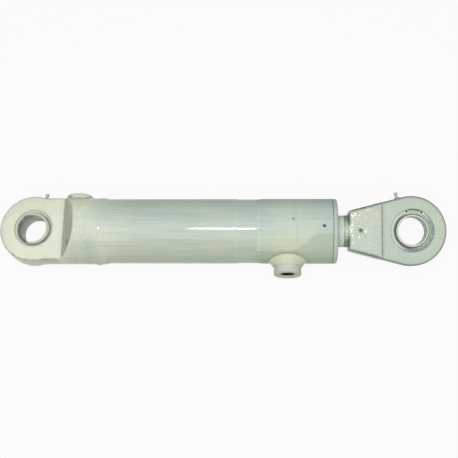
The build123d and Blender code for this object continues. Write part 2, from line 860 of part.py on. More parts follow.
with BuildPart() as rod_eye:
    with BuildSketch(rod_eye_plane):
        with BuildLine():
            Polyline(
                (-neck_len, -start_half),
                (-neck_len, start_half),
                (-neck_step, step_half),
                (-neck_step, -step_half),
                close=True,
            )
        make_face()
    extrude(amount=neck_t / 2, both=True)
    corners = rod_eye.edges().filter_by(rod_pin_axis).sort_by(Axis.X)[:2]
    fillet(corners, radius=neck_corner_r)
    rims = rod_eye.edges().group_by(rod_pin_axis)
    rounded = [edge for edge in rims[0] + rims[-1] if edge.center().X < step_x - face_margin]
    fillet(rounded, radius=neck_edge_r)
    add(rod_eye_plate.part)
    revolve(
        half_section(
            [
                (rod_end_x, 0),
                (rod_end_x, collar_d / 2),
                (block_x - collar_flare, collar_d / 2),
                (block_x, collar_d / 2 + collar_flare),
                (block_x + neck_edge_r, collar_d / 2),
                (block_x + neck_edge_r, 0),
            ]
        ),
        axis=Axis.X,
    )
    revolve(
        ring_section(rod_end_x, rod_thread_end_x + rod_thread_runout, 0, rod_thread_r),
        axis=Axis.X,
        mode=Mode.SUBTRACT,
    )
    revolve(
        bearing_seat_section(rod_eye_plane, -1),
        axis=rod_pin_axis,
        mode=Mode.SUBTRACT,
    )
    with Locations(eye_lock_plane):
        Cylinder(
            lock_screw_d / 2, neck_t,
            align=(Align.CENTER, Align.CENTER, Align.MIN), mode=Mode.SUBTRACT,
        )
    with Locations(rod_nipple_plane):
        Cylinder(
            nipple_spot_d / 2, nipple_len,
            align=(Align.CENTER, Align.CENTER, Align.MIN), mode=Mode.SUBTRACT,
        )
        Cylinder(
            nipple_thread_d / 2, nipple_thread_len + nipple_hole_extra,
            align=(Align.CENTER, Align.CENTER, Align.MAX), mode=Mode.SUBTRACT,
        )
        Cylinder(
            grease_hole_d / 2,
            nipple_line_run - sqrt(bearing_r**2 - nipple_line_offset**2) + grease_hole_extra,
            align=(Align.CENTER, Align.CENTER, Align.MAX), mode=Mode.SUBTRACT,
        )
save(rod_eye.part, "rod_eye")

# Bearing rings and circlip of each eye
cup_r = ball_r + sphere_gap
groove_half = bearing_groove_w / 2
cup_mouth_r = sqrt(cup_r**2 - outer_half**2)
circlip_r = circlip_groove_r - circlip_play
lug_orbit = circlip_r - circlip_lug_r
hole_orbit = circlip_r - circlip_hole_depth
band_end = radians(circlip_hole_angle - circlip_lug_back)

for end, eye_plane, lip_side in (("base", base_eye_plane, 1), ("rod", rod_eye_plane, -1)):
    with BuildPart() as bearing_outer_ring:
        with BuildSketch(pin_section_plane(eye_plane)):
            with BuildLine():
                Polyline(
                    (cup_mouth_r, -outer_half),
                    (bearing_r - bearing_chamfer, -outer_half),
                    (bearing_r, -outer_half + bearing_chamfer),
                    (bearing_r, -groove_half),
                    (bearing_r - bearing_groove_depth, -groove_half),
                    (bearing_r - bearing_groove_depth, groove_half),
                    (bearing_r, groove_half),
                    (bearing_r, outer_half - bearing_chamfer),
                    (bearing_r - bearing_chamfer, outer_half),
                    (cup_mouth_r, outer_half),
                )
                ThreePointArc((cup_mouth_r, outer_half), (cup_r, 0), (cup_mouth_r, -outer_half))
            make_face()
        revolve(axis=pin_axis(eye_plane))
        with BuildSketch(pin_section_plane(eye_plane)):
            Circle(bearing_oil_hole_d / 2)
        extrude(amount=2 * bearing_r, both=True, mode=Mode.SUBTRACT)
    save(bearing_outer_ring.part, f"{end}_bearing_outer_ring")

    with BuildPart() as bearing_inner_ring:
        with BuildSketch(pin_section_plane(eye_plane)):
            with BuildLine():
                Polyline(
                    (bearing_face_r, inner_half),
                    (bearing_bore_r + bearing_chamfer, inner_half),
                    (bearing_bore_r, inner_half - bearing_chamfer),
                    (bearing_bore_r, -inner_half + bearing_chamfer),
                    (bearing_bore_r + bearing_chamfer, -inner_half),
                    (bearing_face_r, -inner_half),
                )
                ThreePointArc((bearing_face_r, -inner_half), (ball_r, 0), (bearing_face_r, inner_half))
            make_face()
        revolve(axis=pin_axis(eye_plane))
    save(bearing_inner_ring.part, f"{end}_bearing_inner_ring")

    circlip_seat = -lip_side * outer_half
    with BuildPart() as bearing_circlip:
        with BuildSketch(eye_plane.offset(circlip_seat)):
            Circle(circlip_r)
            Circle(circlip_r - circlip_w, mode=Mode.SUBTRACT)
            with BuildLine():
                Polyline(
                    (0, 0),
                    (2 * bearing_r * sin(band_end), 2 * bearing_r * cos(band_end)),
                    (-2 * bearing_r * sin(band_end), 2 * bearing_r * cos(band_end)),
                    close=True,
                )
            make_face(mode=Mode.SUBTRACT)
            for side in (-1, 1):
                angle = side * radians(circlip_hole_angle)
                with Locations((lug_orbit * sin(angle), lug_orbit * cos(angle))):
                    Circle(circlip_lug_r)
                with Locations((hole_orbit * sin(angle), hole_orbit * cos(angle))):
                    Circle(circlip_hole_d / 2, mode=Mode.SUBTRACT)
        extrude(amount=-lip_side * circlip_t)
    save(bearing_circlip.part, f"{end}_bearing_circlip")

# Grease nipples, each with its check ball
nipple_seat_z = nipple_len - nipple_seat_depth
ball_drop = sqrt((nipple_ball_d / 2) ** 2 - (nipple_mouth_d / 2) ** 2) + nipple_ball_gap
nipple_core_r = nipple_thread_d / 2
head_r = nipple_head_d / 2
neck_r = nipple_neck_d / 2
head_start_z = nipple_len - nipple_head_len
for end, nipple_plane in (("base", base_nipple_plane), ("rod", rod_nipple_plane)):
    section_plane = pin_section_plane(nipple_plane)
    with BuildPart() as grease_nipple:
        with BuildSketch(section_plane):
            with BuildLine():
                Polyline(
                    (nipple_chamber_d / 2, -nipple_thread_len),
                    (nipple_core_r, -nipple_thread_len),
                    (nipple_core_r, nipple_hex_len),
                    (neck_r, nipple_hex_len + nipple_cone_len),
                    (neck_r, head_start_z - nipple_cone_len),
                    (head_r, head_start_z),
                    (head_r, nipple_len - nipple_nose),
                    (nipple_mouth_d / 2 + nipple_lip, nipple_len),
                    (nipple_mouth_d / 2, nipple_len),
                    (nipple_mouth_d / 2, nipple_seat_z),
                    (nipple_chamber_d / 2, nipple_seat_z),
                    close=True,
                )
            make_face()
        revolve(axis=pin_axis(nipple_plane))
        with BuildSketch(nipple_plane):
            RegularPolygon(nipple_flats / 2, 6, major_radius=False)
            Circle(neck_r, mode=Mode.SUBTRACT)
        extrude(amount=nipple_hex_len)
    save(grease_nipple.part, f"{end}_grease_nipple")

    with BuildPart() as nipple_ball:
        with Locations(nipple_plane.offset(nipple_seat_z - ball_drop)):
            Sphere(nipple_ball_d / 2)
    save(nipple_ball.part, f"{end}_nipple_ball")

# Locking screws: socket set screws for the gland and the rod eye
gland_lock_seat = thread_r - gland_lock_bite
for label, lock_plane, seat, length in (
    ("gland_lock_screw", gland_lock_plane, gland_lock_seat, gland_lock_len),
    ("rod_eye_lock_screw", eye_lock_plane, rod_thread_r, eye_lock_len),
):
    with BuildPart() as lock_screw:
        with BuildSketch(lock_plane.offset(seat)):
            Circle(lock_screw_d / 2)
        extrude(amount=length)
        with BuildSketch(lock_plane.offset(seat + length)):
            RegularPolygon(lock_screw_socket / 2, 6, major_radius=False)
        extrude(amount=-lock_screw_socket_depth, mode=Mode.SUBTRACT)
    save(lock_screw.part, label)
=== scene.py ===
"""Looks of the hydraulic cylinder: painted forgings, turned steel, bearings, welds and nipples."""
import json
from math import asin, cos, degrees, hypot, pi, radians, sin, sqrt, tan

import bmesh
import bpy
import numpy as np
from mathutils import Matrix, Vector, noise


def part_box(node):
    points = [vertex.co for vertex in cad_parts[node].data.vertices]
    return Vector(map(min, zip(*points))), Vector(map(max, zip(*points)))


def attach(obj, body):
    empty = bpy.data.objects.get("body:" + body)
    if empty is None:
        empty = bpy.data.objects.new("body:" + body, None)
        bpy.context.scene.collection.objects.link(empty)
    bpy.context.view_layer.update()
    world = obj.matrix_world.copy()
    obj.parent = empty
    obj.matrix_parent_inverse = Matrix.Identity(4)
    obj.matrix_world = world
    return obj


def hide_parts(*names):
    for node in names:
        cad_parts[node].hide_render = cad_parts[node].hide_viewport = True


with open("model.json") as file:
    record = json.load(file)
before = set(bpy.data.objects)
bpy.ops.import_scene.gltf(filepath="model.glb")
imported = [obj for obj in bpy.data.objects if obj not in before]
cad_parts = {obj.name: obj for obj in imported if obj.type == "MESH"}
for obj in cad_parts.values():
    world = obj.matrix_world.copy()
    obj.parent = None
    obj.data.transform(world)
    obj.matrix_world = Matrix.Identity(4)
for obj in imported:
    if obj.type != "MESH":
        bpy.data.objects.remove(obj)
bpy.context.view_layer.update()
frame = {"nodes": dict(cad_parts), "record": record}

MM = 0.001
X, Y, Z = 0, 1, 2
LOW, HIGH = 0, 1


def reach(node, axis, end):
    """Where a node of the frame starts or ends along an axis, in millimetres."""
    return round(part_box(node)[end][axis] / MM, 2)


def mounted(name, key):
    """A mount's place or axis, as the record gives it."""
    return next(row[key] for row in frame["record"]["mounts"] if row["name"] == name)


# Sizes of the cylinder in millimetres, along x from the base pin
TUBE_R = reach("barrel_tube", Z, HIGH)
BORE_R = 45.0
CAP_R = reach("base_end", Z, HIGH)
CAP_END = reach("barrel_tube", X, LOW)
CAP_FACE = reach("base_end", X, HIGH)
CAP_WELD_HALF = 7.5
NUT_RECESS = 124.25
NUT_RECESS_R = 34.0
BAND_START = 363.0
BAND_R = 56.7
HEAD_START = reach("barrel_tube", X, HIGH)
HEAD_WELD_HALF = 5.0
TUBE_END = reach("barrel_head", X, HIGH)
GLAND_FACE = reach("gland", X, HIGH)
ROD_R = -reach("piston_rod", Z, LOW)
ROD_END = reach("rod_eye", X, LOW)
BLOCK_START = 559.0
OIL_R = 7.0

# Ports: place along x and height of the boss above the tube's axis
BASE_PORT_X = round(mounted("base_port", "pos_m")[X] / MM, 2)
BASE_PORT_TOP = reach("base_end", Y, HIGH)
HEAD_PORT_X = round(mounted("head_port", "pos_m")[X] / MM, 2)
HEAD_PORT_TOP = -reach("head_port_boss", Y, LOW)
BOSS_R = 24.0
PORT_R = 12.5
THREAD_START = 19.2
WELD_TOE = (34.0, 28.5)

# Eyes, each with its own axes: origin on the pin, x along the cylinder, z along the pin
ROD_PIN = round(mounted("rod_pin_bore", "pos_m")[X] / MM, 2)
ROD_ROLL = radians(round(degrees(asin(-mounted("rod_pin_bore", "axis")[Y])), 2))
BASE_EYE = Matrix.Identity(4)
ROD_EYE = Matrix.Translation((ROD_PIN, 0, 0)) @ Matrix.Rotation(ROD_ROLL, 4, "X")
TO_ROD_EYE = ROD_EYE.inverted()
EYE_HALF = 19.0
EYE_R = 60.0
FLANK = radians(14.52)
FLANK_START = (-109.0, 35.3)

# Bearings
SEAT_R = 37.5
LIP_R = 34.0
GROOVE_R = 39.0
BALL_R = 33.0
BALL_HALF = 17.5
RING_HALF = 14.0
PIN_R = 25.0
LUG_ORBIT = 35.5
LUG_ANGLE = radians(21.0)
LUG_HOLE_R = 2.7
CLIP_TURN = radians(4.4)
BALL_LEAN = radians(6.5)

# Small marks that use has left
CHIP_MIDDLE = (65.0, -18.0)
CHIP_HALF = (4.5, 8.0)
CHIP_LEAN = radians(18.0)
PAINT_NIB = (123.2, -12.6, 58.2)
PUNCH_X = 461.0
PUNCH_ANGLE = radians(4.6)


def along(origin, direction, side=(0, 0, 1)):
    """A place in millimetres whose x axis runs that way."""
    x = Vector(direction).normalized()
    y = Vector(side).cross(x).normalized()
    made = Matrix((x, y, x.cross(y))).transposed().to_4x4()
    made.translation = origin
    return made


def in_metres(place):
    """The same place with its offset in metres."""
    made = place.copy()
    made.translation = place.translation * MM
    return made


X_AXIS = Matrix.Identity(4)
BASE_PIN_LINE = along((0, 0, 0), (0, 0, 1), (1, 0, 0))
ROD_PIN_LINE = ROD_EYE @ BASE_PIN_LINE
BASE_PORT_LINE = along((BASE_PORT_X, 0, 0), (0, 1, 0))
HEAD_PORT_LINE = along((HEAD_PORT_X, 0, 0), (0, -1, 0))


# Node trees


def math_node(operation, swapped=False):
    """A method that adds a Math node of two values."""
    return lambda self, other: self.maths(operation, *((other, self) if swapped else (self, other)))


class Socket:
    """A value in a node tree. Python's operators on it add Math nodes."""

    def __init__(self, tree, link):
        self.tree = tree
        self.link = link

    def maths(self, operation, *values, clamp=False):
        node = self.tree.nodes.new("ShaderNodeMath")
        node.operation = operation
        node.use_clamp = clamp
        for entry, value in zip(node.inputs, values):
            plug(self.tree, entry, value)
        return Socket(self.tree, node.outputs[0])

    __add__ = math_node("ADD")
    __radd__ = math_node("ADD", True)
    __sub__ = math_node("SUBTRACT")
    __rsub__ = math_node("SUBTRACT", True)
    __mul__ = math_node("MULTIPLY")
    __rmul__ = math_node("MULTIPLY", True)
    __truediv__ = math_node("DIVIDE")
    __pow__ = math_node("POWER")
    most = math_node("MAXIMUM")

    def __abs__(self):
        return self.maths("ABSOLUTE", self)

    def clamped(self):
        return self.maths("ADD", self, 0.0, clamp=True)


def plug(tree, entry, value):
    """Links or sets one input socket."""
    if isinstance(value, Socket):
        tree.links.new(value.link, entry)
    elif isinstance(value, bpy.types.NodeSocket):
        tree.links.new(value, entry)
    else:
        entry.default_value = value


class Graph:
    """Builds one node tree."""

    def __init__(self, tree):
        self.tree = tree

    def node(self, kind, settings=None, sockets=None):
        """Adds a node: its settings first, then its sockets by name or index."""
        made = self.tree.nodes.new(kind)
        for key, value in (settings or {}).items():
            if key == "stops":
                ramp = made.color_ramp
                while len(ramp.elements) < len(value):
                    ramp.elements.new(0.5)
                for element, (place, colour) in zip(ramp.elements, value):
                    element.position = place
                    element.color = colour
            else:
                setattr(made, key, value)
        for key, value in (sockets or {}).items():
            plug(self.tree, made.inputs[key], value)
        return made

    def out(self, made, key=0):
        return Socket(self.tree, made.outputs[key])

    def get(self, kind, settings=None, sockets=None, key=0):
        return self.out(self.node(kind, settings, sockets), key)

    def end(self, kind, shader):
        """Links a shader to the tree's output."""
        self.node(kind, None, {0: shader})


class Paint(Graph):
    """Shader graph with patterns on Object coordinates, in millimetres."""

    def __init__(self, name):
        self.material = bpy.data.materials.new(name)
        self.material.use_nodes = True
        super().__init__(self.material.node_tree)
        self.tree.nodes.clear()
        coords = self.get("ShaderNodeTexCoord", key="Object")
        self.place = self.get("ShaderNodeVectorMath", {"operation": "SCALE"}, {0: coords, "Scale": 1 / MM})
        split = self.node("ShaderNodeSeparateXYZ", None, {0: self.place})
        self.x, self.y, self.z = (self.out(split, i) for i in range(3))

    def clouds(self, grain, detail=3.0, roughness=0.55):
        """Noise from 0 to 1 whose features are about that many millimetres, the same or per axis."""
        grain = grain if isinstance(grain, tuple) else (grain,) * 3
        spot = self.get("ShaderNodeVectorMath", {"operation": "DIVIDE"}, {0: self.place, 1: grain})
        sockets = {"Vector": spot, "Scale": 1.0, "Detail": detail, "Roughness": roughness}
        return self.get("ShaderNodeTexNoise", None, sockets)

    def step(self, value, low, high):
        """0 at low, 1 at high, smooth between."""
        sockets = {"Value": value, "From Min": low, "From Max": high, "To Min": 0.0, "To Max": 1.0}
        return self.get("ShaderNodeMapRange", {"interpolation_type": "SMOOTHSTEP"}, sockets)

    def painted(self, name):
        """A value from 0 to 1 that the piece's own mesh carries."""
        return self.get("ShaderNodeAttribute", {"attribute_name": name}, None, "Fac")

    def near(self, centre, radius):
        """1 within a radius of a point, 0 outside."""
        gap = self.get("ShaderNodeVectorMath", {"operation": "DISTANCE"}, {0: self.place, 1: centre}, "Value")
        return self.step(gap, radius * 1.25, radius * 0.85)

    def mix(self, share, first, second, kind="MIX"):
        """Mixes two colours, given as sockets or as red, green and blue."""
        made = self.node("ShaderNodeMix", {"data_type": "RGBA", "blend_type": kind}, {"Factor": share})
        entries = [entry for entry in made.inputs if entry.type == "RGBA"]
        for entry, colour in zip(entries, (first, second)):
            plug(self.tree, entry, colour if isinstance(colour, Socket) else (*colour, 1.0))
        return Socket(self.tree, next(result for result in made.outputs if result.type == "RGBA"))

    def tint(self, share, colour, factor):
        """Multiplies a colour, as far as share says."""
        return self.mix(share, colour, factor, "MULTIPLY")

    def bump(self, height, depth):
        """Bump of a height field from 0 to 1 that is depth millimetres deep."""
        return self.get("ShaderNodeBump", None, {"Height": height, "Distance": depth * MM, "Strength": 1.0})

    def finish(self, colour, roughness, normal, metallic=0.0, specular=0.5, coat=0.0, coat_rough=0.1):
        sockets = {
            "Base Color": colour,
            "Roughness": roughness,
            "Normal": normal,
            "Metallic": metallic,
            "Specular IOR Level": specular,
            "Coat Weight": coat,
            "Coat Roughness": coat_rough,
        }
        self.end("ShaderNodeOutputMaterial", self.get("ShaderNodeBsdfPrincipled", None, sockets))
        return self.material


class Shape(Graph):
    """A Geometry Nodes tree in millimetres, with its sizes as named inputs."""

    def __init__(self, name, sizes):
        super().__init__(bpy.data.node_groups.new(name, "GeometryNodeTree"))
        self.sizes = sizes
        self.keys = {}
        for key, value in sizes.items():
            kind = "NodeSocketInt" if isinstance(value, int) else "NodeSocketFloat"
            entry = self.tree.interface.new_socket(name=key, in_out="INPUT", socket_type=kind)
            self.keys[key] = entry.identifier
        self.tree.interface.new_socket(name="Geometry", in_out="OUTPUT", socket_type="NodeSocketGeometry")
        self.given = self.node("NodeGroupInput")

    def size(self, key):
        return self.out(self.given, key)

    def spot(self, x, y, z=0.0):
        return self.get("ShaderNodeCombineXYZ", None, {0: x, 1: y, 2: z})

    def turned_to_x(self, geometry, spin=0.0):
        """Turns what stands on z so that it runs along x, after a spin about itself."""
        spun = self.get("GeometryNodeTransform", None, {"Geometry": geometry, "Rotation": (0, 0, spin)})
        return self.get("GeometryNodeTransform", None, {"Geometry": spun, "Rotation": (0, pi / 2, 0)})

    def made(self, name, geometry, material, place=None):
        """Ends the tree, runs it and gives its result as a plain piece."""
        scaled = self.get("GeometryNodeTransform", None, {"Geometry": geometry, "Scale": (MM, MM, MM)})
        plain = self.get("GeometryNodeRealizeInstances", None, {"Geometry": scaled})
        done = self.get("GeometryNodeSetMaterial", None, {"Geometry": plain, "Material": material})
        self.end("NodeGroupOutput", done)
        piece = bpy.data.objects.new(name, bpy.data.meshes.new(name))
        bpy.context.scene.collection.objects.link(piece)
        maker = piece.modifiers.new("shape", "NODES")
        maker.node_group = self.tree
        for key, value in self.sizes.items():
            maker[self.keys[key]] = value
        applied(piece)
        if place:
            piece.data.transform(in_metres(place))
        return resharpen(piece, NODE_SHARP)


# Finishes

ENAMEL_DARK = (0.30, 0.35, 0.28)
OVERSPRAY = (0.57, 0.6175, 0.513)
STAIN = (0.52, 0.50, 0.34)

# The coat's tone on each main piece: millimetres from the base pin, and the colour
BASE_TONES = [(44, (0.70, 0.71, 0.56)), (70, (0.625, 0.66, 0.53)), (125, (0.57, 0.62, 0.51))]
TUBE_TONES = [(130, (0.57, 0.62, 0.525)), (190, (0.49, 0.55, 0.475)), (360, (0.49, 0.555, 0.48))]
HEAD_TONES = [(400, (0.51, 0.58, 0.505)), (455, (0.55, 0.62, 0.54)), (530, (0.50, 0.58, 0.51))]
BEAD_TONES = [(415, (0.60, 0.63, 0.50)), (490, (0.60, 0.64, 0.52))]
BOSS_TONES = [(425, (0.52, 0.575, 0.54)), (478, (0.52, 0.575, 0.54))]
EYE_TONES = [(590, (0.515, 0.56, 0.465)), (650, (0.43, 0.49, 0.42)), (725, (0.47, 0.515, 0.415))]
# The rod's stub is painted lighter than the rest to make up for the gland's and eye's shade: painted light.
ROD_TONES = [(535, (0.68, 0.71, 0.67)), (552, (0.74, 0.75, 0.71))]


def enamel_colour(paint, tones, blotch, stain):
    """Enamel that goes from tone to tone, with slow changes between cooler and warmer."""
    start, length = tones[0][0], tones[-1][0] - tones[0][0]
    stops = [((x - start) / length, (*colour, 1.0)) for x, colour in tones]
    share = ((paint.x - start) / length).clamped()
    base = paint.get("ShaderNodeValToRGB", {"stops": stops}, {"Fac": share})
    slow = paint.clouds((60.0, 22.0, 22.0), detail=2.0)
    fine = paint.clouds(blotch, detail=4.0)
    cool = paint.tint(paint.step(slow, 0.42, 0.62), base, (0.93, 0.985, 1.0))
    warm = paint.tint(paint.step(fine, 0.45, 0.75) * 0.6, cool, (1.04, 1.0, 0.93))
    stains = paint.step(paint.clouds(9.0, detail=5.0), 0.66, 0.8) * stain
    return paint.mix(stains, warm, STAIN)


def forging_enamel(name, tones, wall, stains=()):
    """Thick enamel over a forged skin: soft pimples, darker hollows, painted shade on walls, rims
    and roots (with grime in the roots), a painted highlight on glossy ridges, painted light where lit.
    """
    paint = Paint(name)
    coarse = paint.painted("coarse")
    pimples = paint.clouds(2.8)
    lumps = paint.clouds(7.5, detail=2.0)
    height = (pimples * 0.6 + lumps * 0.5) * (0.15 + coarse)
    colour = enamel_colour(paint, tones, 6.0, 0.25)
    hollow = paint.step(pimples, 0.55, 0.25) * (0.08 + 0.14 * coarse)
    colour = paint.mix(hollow, colour, ENAMEL_DARK)
    patches = paint.clouds(5.0, detail=4.0, roughness=0.6)
    spread = 0.35 + 0.65 * coarse
    colour = paint.tint(paint.step(patches, 0.50, 0.68) * spread, colour, (0.91, 0.92, 0.89))
    colour = paint.tint(paint.step(patches, 0.48, 0.34) * spread, colour, (1.07, 1.07, 1.06))
    for centre, size in stains:
        yellowed = paint.near(centre, size) * paint.step(lumps, 0.2, 0.7) * 0.7
        colour = paint.tint(yellowed, colour, (1.09, 1.0, 0.84))
    flaked = paint.step(pimples, 0.42, 0.50)
    # Painted light and shade: the rim and wall marks darken as painted shade, the root mark as painted shade
    # with grime; the lit mark is painted light and the ridge mark a painted highlight, with thinner paint on
    # the edges. The chip mark is a real chip.
    for place, share, factor in (
        ("rim", 1.0, (0.58, 0.66, 0.67)),
        ("lit", 1.0, (1.14, 1.14, 1.10)),
        ("chip", flaked, (0.45, 0.46, 0.42)),
        ("wall", 1.0, wall),
        ("root", 0.75, (0.38, 0.42, 0.38)),
        ("ridge", 0.5, (1.12, 1.12, 1.08)),
    ):
        colour = paint.tint(paint.painted(place) * share, colour, factor)
    rough = 0.42 + paint.clouds(4.0) * 0.16
    gloss = 0.75 - paint.painted("wall") * 0.65
    return paint.finish(colour, rough, paint.bump(height, 1.3), specular=0.25, coat=gloss, coat_rough=0.07)


def patched(paint, colour):
    """Grime with painted shade round the head port's weld, and the edge of a paler touched-up patch above it.
    """
    toe_along, toe_across = WELD_TOE
    round_port = ((paint.x - HEAD_PORT_X) / toe_along) ** 2 + (paint.z / toe_across) ** 2
    # Grime with painted shade at the weld's toe on the port's side.
    grime_and_shade = paint.step(round_port, 1.75, 1.05) * paint.step(paint.y, 0.0, -15.0)
    colour = paint.tint(grime_and_shade, colour, (0.84, 0.84, 0.80))
    climb = paint.step(paint.x, HEAD_PORT_X + 5.0, HEAD_PORT_X + 62.0) * 27.0
    brink = paint.y - climb + paint.clouds(9.0) * 6.0
    on_top = paint.step(paint.z, -20.0, -5.0) * paint.step(paint.x, TUBE_END + 1.0, TUBE_END - 0.5)
    colour = paint.tint(paint.step(brink, -42.0, -45.5) * on_top, colour, (0.88, 0.90, 0.86))
    band = paint.step(brink, -45.0, -41.0) * paint.step(brink, -12.0, -30.0)
    return paint.tint(band * paint.step(paint.x, 515.0, 480.0), colour, (1.07, 1.05, 1.0))


def smooth_enamel(
    name, tones, streak=0.8, rough=0.45, gloss=0.6, seams=(), dents=(), relief=0.03, port_patch=False
):
    """Glossy enamel over turned steel, with faint streaks along the tube, painted shade on its upper
    side, a warmer painted light on its lower side, a painted glint on the paint nib, and paler or
    darker lines at its seams: place, half width and factor. The paler lines are painted highlights."""
    paint = Paint(name)
    streaks = paint.clouds((110.0, 2.6, 2.6), detail=4.0, roughness=0.65)
    peel = paint.clouds(3.4, detail=2.0)
    colour = enamel_colour(paint, tones, (30.0, 9.0, 9.0), 0.12)
    colour = paint.tint(paint.step(streaks, 0.48, 0.66) * streak, colour, (0.84, 0.86, 0.86))
    colour = paint.tint(paint.step(streaks, 0.46, 0.32) * streak, colour, (1.10, 1.10, 1.08))
    # Painted shade: the tube's upper side is cooler and darker.
    upper_side_shade = paint.step(paint.y, 22.0, 50.0) * paint.step(paint.z, 0.0, 16.0)
    upper_side_shade = upper_side_shade * paint.step(paint.x, 112.0, 200.0)
    colour = paint.tint(upper_side_shade, colour, (0.86, 0.90, 0.92))
    for centre, size in dents:
        colour = paint.tint(paint.near(centre, size), colour, (0.62, 0.64, 0.62))
    # Painted light: the lower side is warmer, as if lit from the floor below.
    colour = paint.tint(paint.step(paint.y, -8.0, -40.0), colour, (1.03, 1.0, 0.92))
    if port_patch:
        colour = patched(paint, colour)
    for place, half_width, factor in seams:
        line = paint.step(abs(paint.x - place), half_width, half_width * 0.4)
        colour = paint.tint(line, colour, (factor,) * 3)
    # Painted glint: the paint nib is whitened where its highlight sits.
    colour = paint.tint(paint.painted("nib"), colour, (1.8, 1.75, 1.85))
    scuffs = paint.step(paint.clouds((5.0, 2.0, 2.0), detail=4.0), 0.66, 0.74)
    colour = paint.tint(scuffs * 0.5, colour, (0.78, 0.80, 0.78))
    rough = rough + paint.clouds(14.0) * 0.12
    waves = peel * 0.8 + paint.clouds((25.0, 5.0, 5.0)) * 0.6
    return paint.finish(colour, rough, paint.bump(waves, relief), specular=0.1, coat=gloss, coat_rough=0.06)


def bearing_metal(name, light, dark, overspray, metal, rough, grain, shaded=()):
    """Ground steel, oiled, with smears along the pin, some overspray, and lug holes left bare and darkened
    with painted shade.
    """
    paint = Paint(name)
    smear = paint.clouds(grain, roughness=0.5)
    colour = paint.mix(paint.step(smear, 0.30, 0.70), dark, light)
    spray = paint.step(paint.clouds(5.0, detail=4.0), 0.42, 0.62) * overspray
    spray = (spray + paint.painted("sprayed")).clamped()
    for centre in shaded:
        spray = spray * (1 - paint.near(centre, LUG_HOLE_R))
        # Painted shade inside the lug holes.
        colour = paint.tint(paint.near(centre, LUG_HOLE_R), colour, (0.3, 0.3, 0.3))
    colour = paint.mix(spray, colour, OVERSPRAY)
    return paint.finish(colour, rough + smear * 0.15, paint.bump(smear, 0.01), metallic=metal - spray * metal)


def port_metal(name, top):
    """Bare metal of a port: lighter at its mouth, and near black further in, which is painted shade."""
    paint = Paint(name)
    smear = paint.clouds(3.0, detail=4.0)
    mouth = paint.step(abs(paint.y) + smear * 0.8, top - 2.6, top - 1.4)
    # Painted shade: near black deep in the port.
    colour = paint.mix(mouth, (0.015, 0.012, 0.012), (0.52, 0.47, 0.45))
    return paint.finish(colour, 0.35 + smear * 0.15, paint.bump(smear, 0.02), metallic=0.2)


def plain_finish(name, colour, roughness, metallic=0.0, grain=4.0, depth=0.02):
    """A finish for hidden and small pieces: mottled, with a fine bump."""
    paint = Paint(name)
    patch = paint.clouds(grain, detail=4.0)
    shade = paint.mix(paint.step(patch, 0.35, 0.7), tuple(c * 0.85 for c in colour), colour)
    return paint.finish(shade, roughness + patch * 0.12, paint.bump(patch, depth), metallic=metallic)


def lug_holes(eye, height):
    """Places of both holes of a circlip's lugs."""
    angles = [CLIP_TURN - LUG_ANGLE, CLIP_TURN + LUG_ANGLE]
    return [tuple(eye @ Vector((LUG_ORBIT * sin(a), LUG_ORBIT * cos(a), height))) for a in angles]


LUG_HOLES = lug_holes(ROD_EYE, RING_HALF + 0.5) + lug_holes(BASE_EYE, -RING_HALF - 0.5)
STAIN_SPOTS = [(23.5, 44.1, 12.0), (53.7, 10.2, 13.0), (44.0, -30.0, 12.0)]
EYE_STAINS = [(tuple(ROD_EYE @ Vector((x, y, EYE_HALF))), size) for x, y, size in STAIN_SPOTS]

smooth_coats = {
    # The paler line at the band's step is a painted highlight.
    "tube_enamel": {"tones": TUBE_TONES, "seams": [(BAND_START, 1.6, 1.14)]},
    "head_enamel": {
        "tones": HEAD_TONES,
        "streak": 0.6,
        "rough": 0.5,
        "gloss": 0.15,
        # The paler line by the head's weld is a painted highlight; the darker ones are dark joints.
        "seams": [(HEAD_START + 1.0, 2.0, 1.07), (466.0, 1.0, 0.92), (TUBE_END + 0.3, 1.2, 0.75)],
        "dents": [((PUNCH_X, TUBE_R * sin(PUNCH_ANGLE), TUBE_R * cos(PUNCH_ANGLE)), 2.6)],
        "port_patch": True,
    },
    "weld_enamel": {"tones": TUBE_TONES, "streak": 0.4, "relief": 0.12},
    "bead_enamel": {"tones": BEAD_TONES, "streak": 0.1, "rough": 0.35, "gloss": 0.1, "relief": 0.14},
    "boss_enamel": {"tones": BOSS_TONES, "streak": 0.1, "rough": 0.5, "gloss": 0.2},
    "rod_paint": {"tones": ROD_TONES, "streak": 0.1, "rough": 0.5, "gloss": 0.2},
}
# Light and dark tone, overspray, metallic share, roughness, grain, and spots darkened with painted shade
oiled_metals = {
    "bearing_steel": ((0.17, 0.195, 0.18), (0.06, 0.072, 0.066), 0.1, 0.35, 0.35, (5.0, 5.0, 60.0)),
    "ring_steel": ((0.07, 0.08, 0.075), (0.03, 0.035, 0.033), 0.1, 0.2, 0.32, (9.0, 9.0, 40.0), LUG_HOLES),
    "circlip_steel": ((0.20, 0.255, 0.235), (0.10, 0.14, 0.13), 0.15, 0.1, 0.4, 8.0, LUG_HOLES),
    "nipple_steel": ((0.46, 0.45, 0.43), (0.32, 0.31, 0.30), 0.4, 0.4, 0.35, 3.0),
}
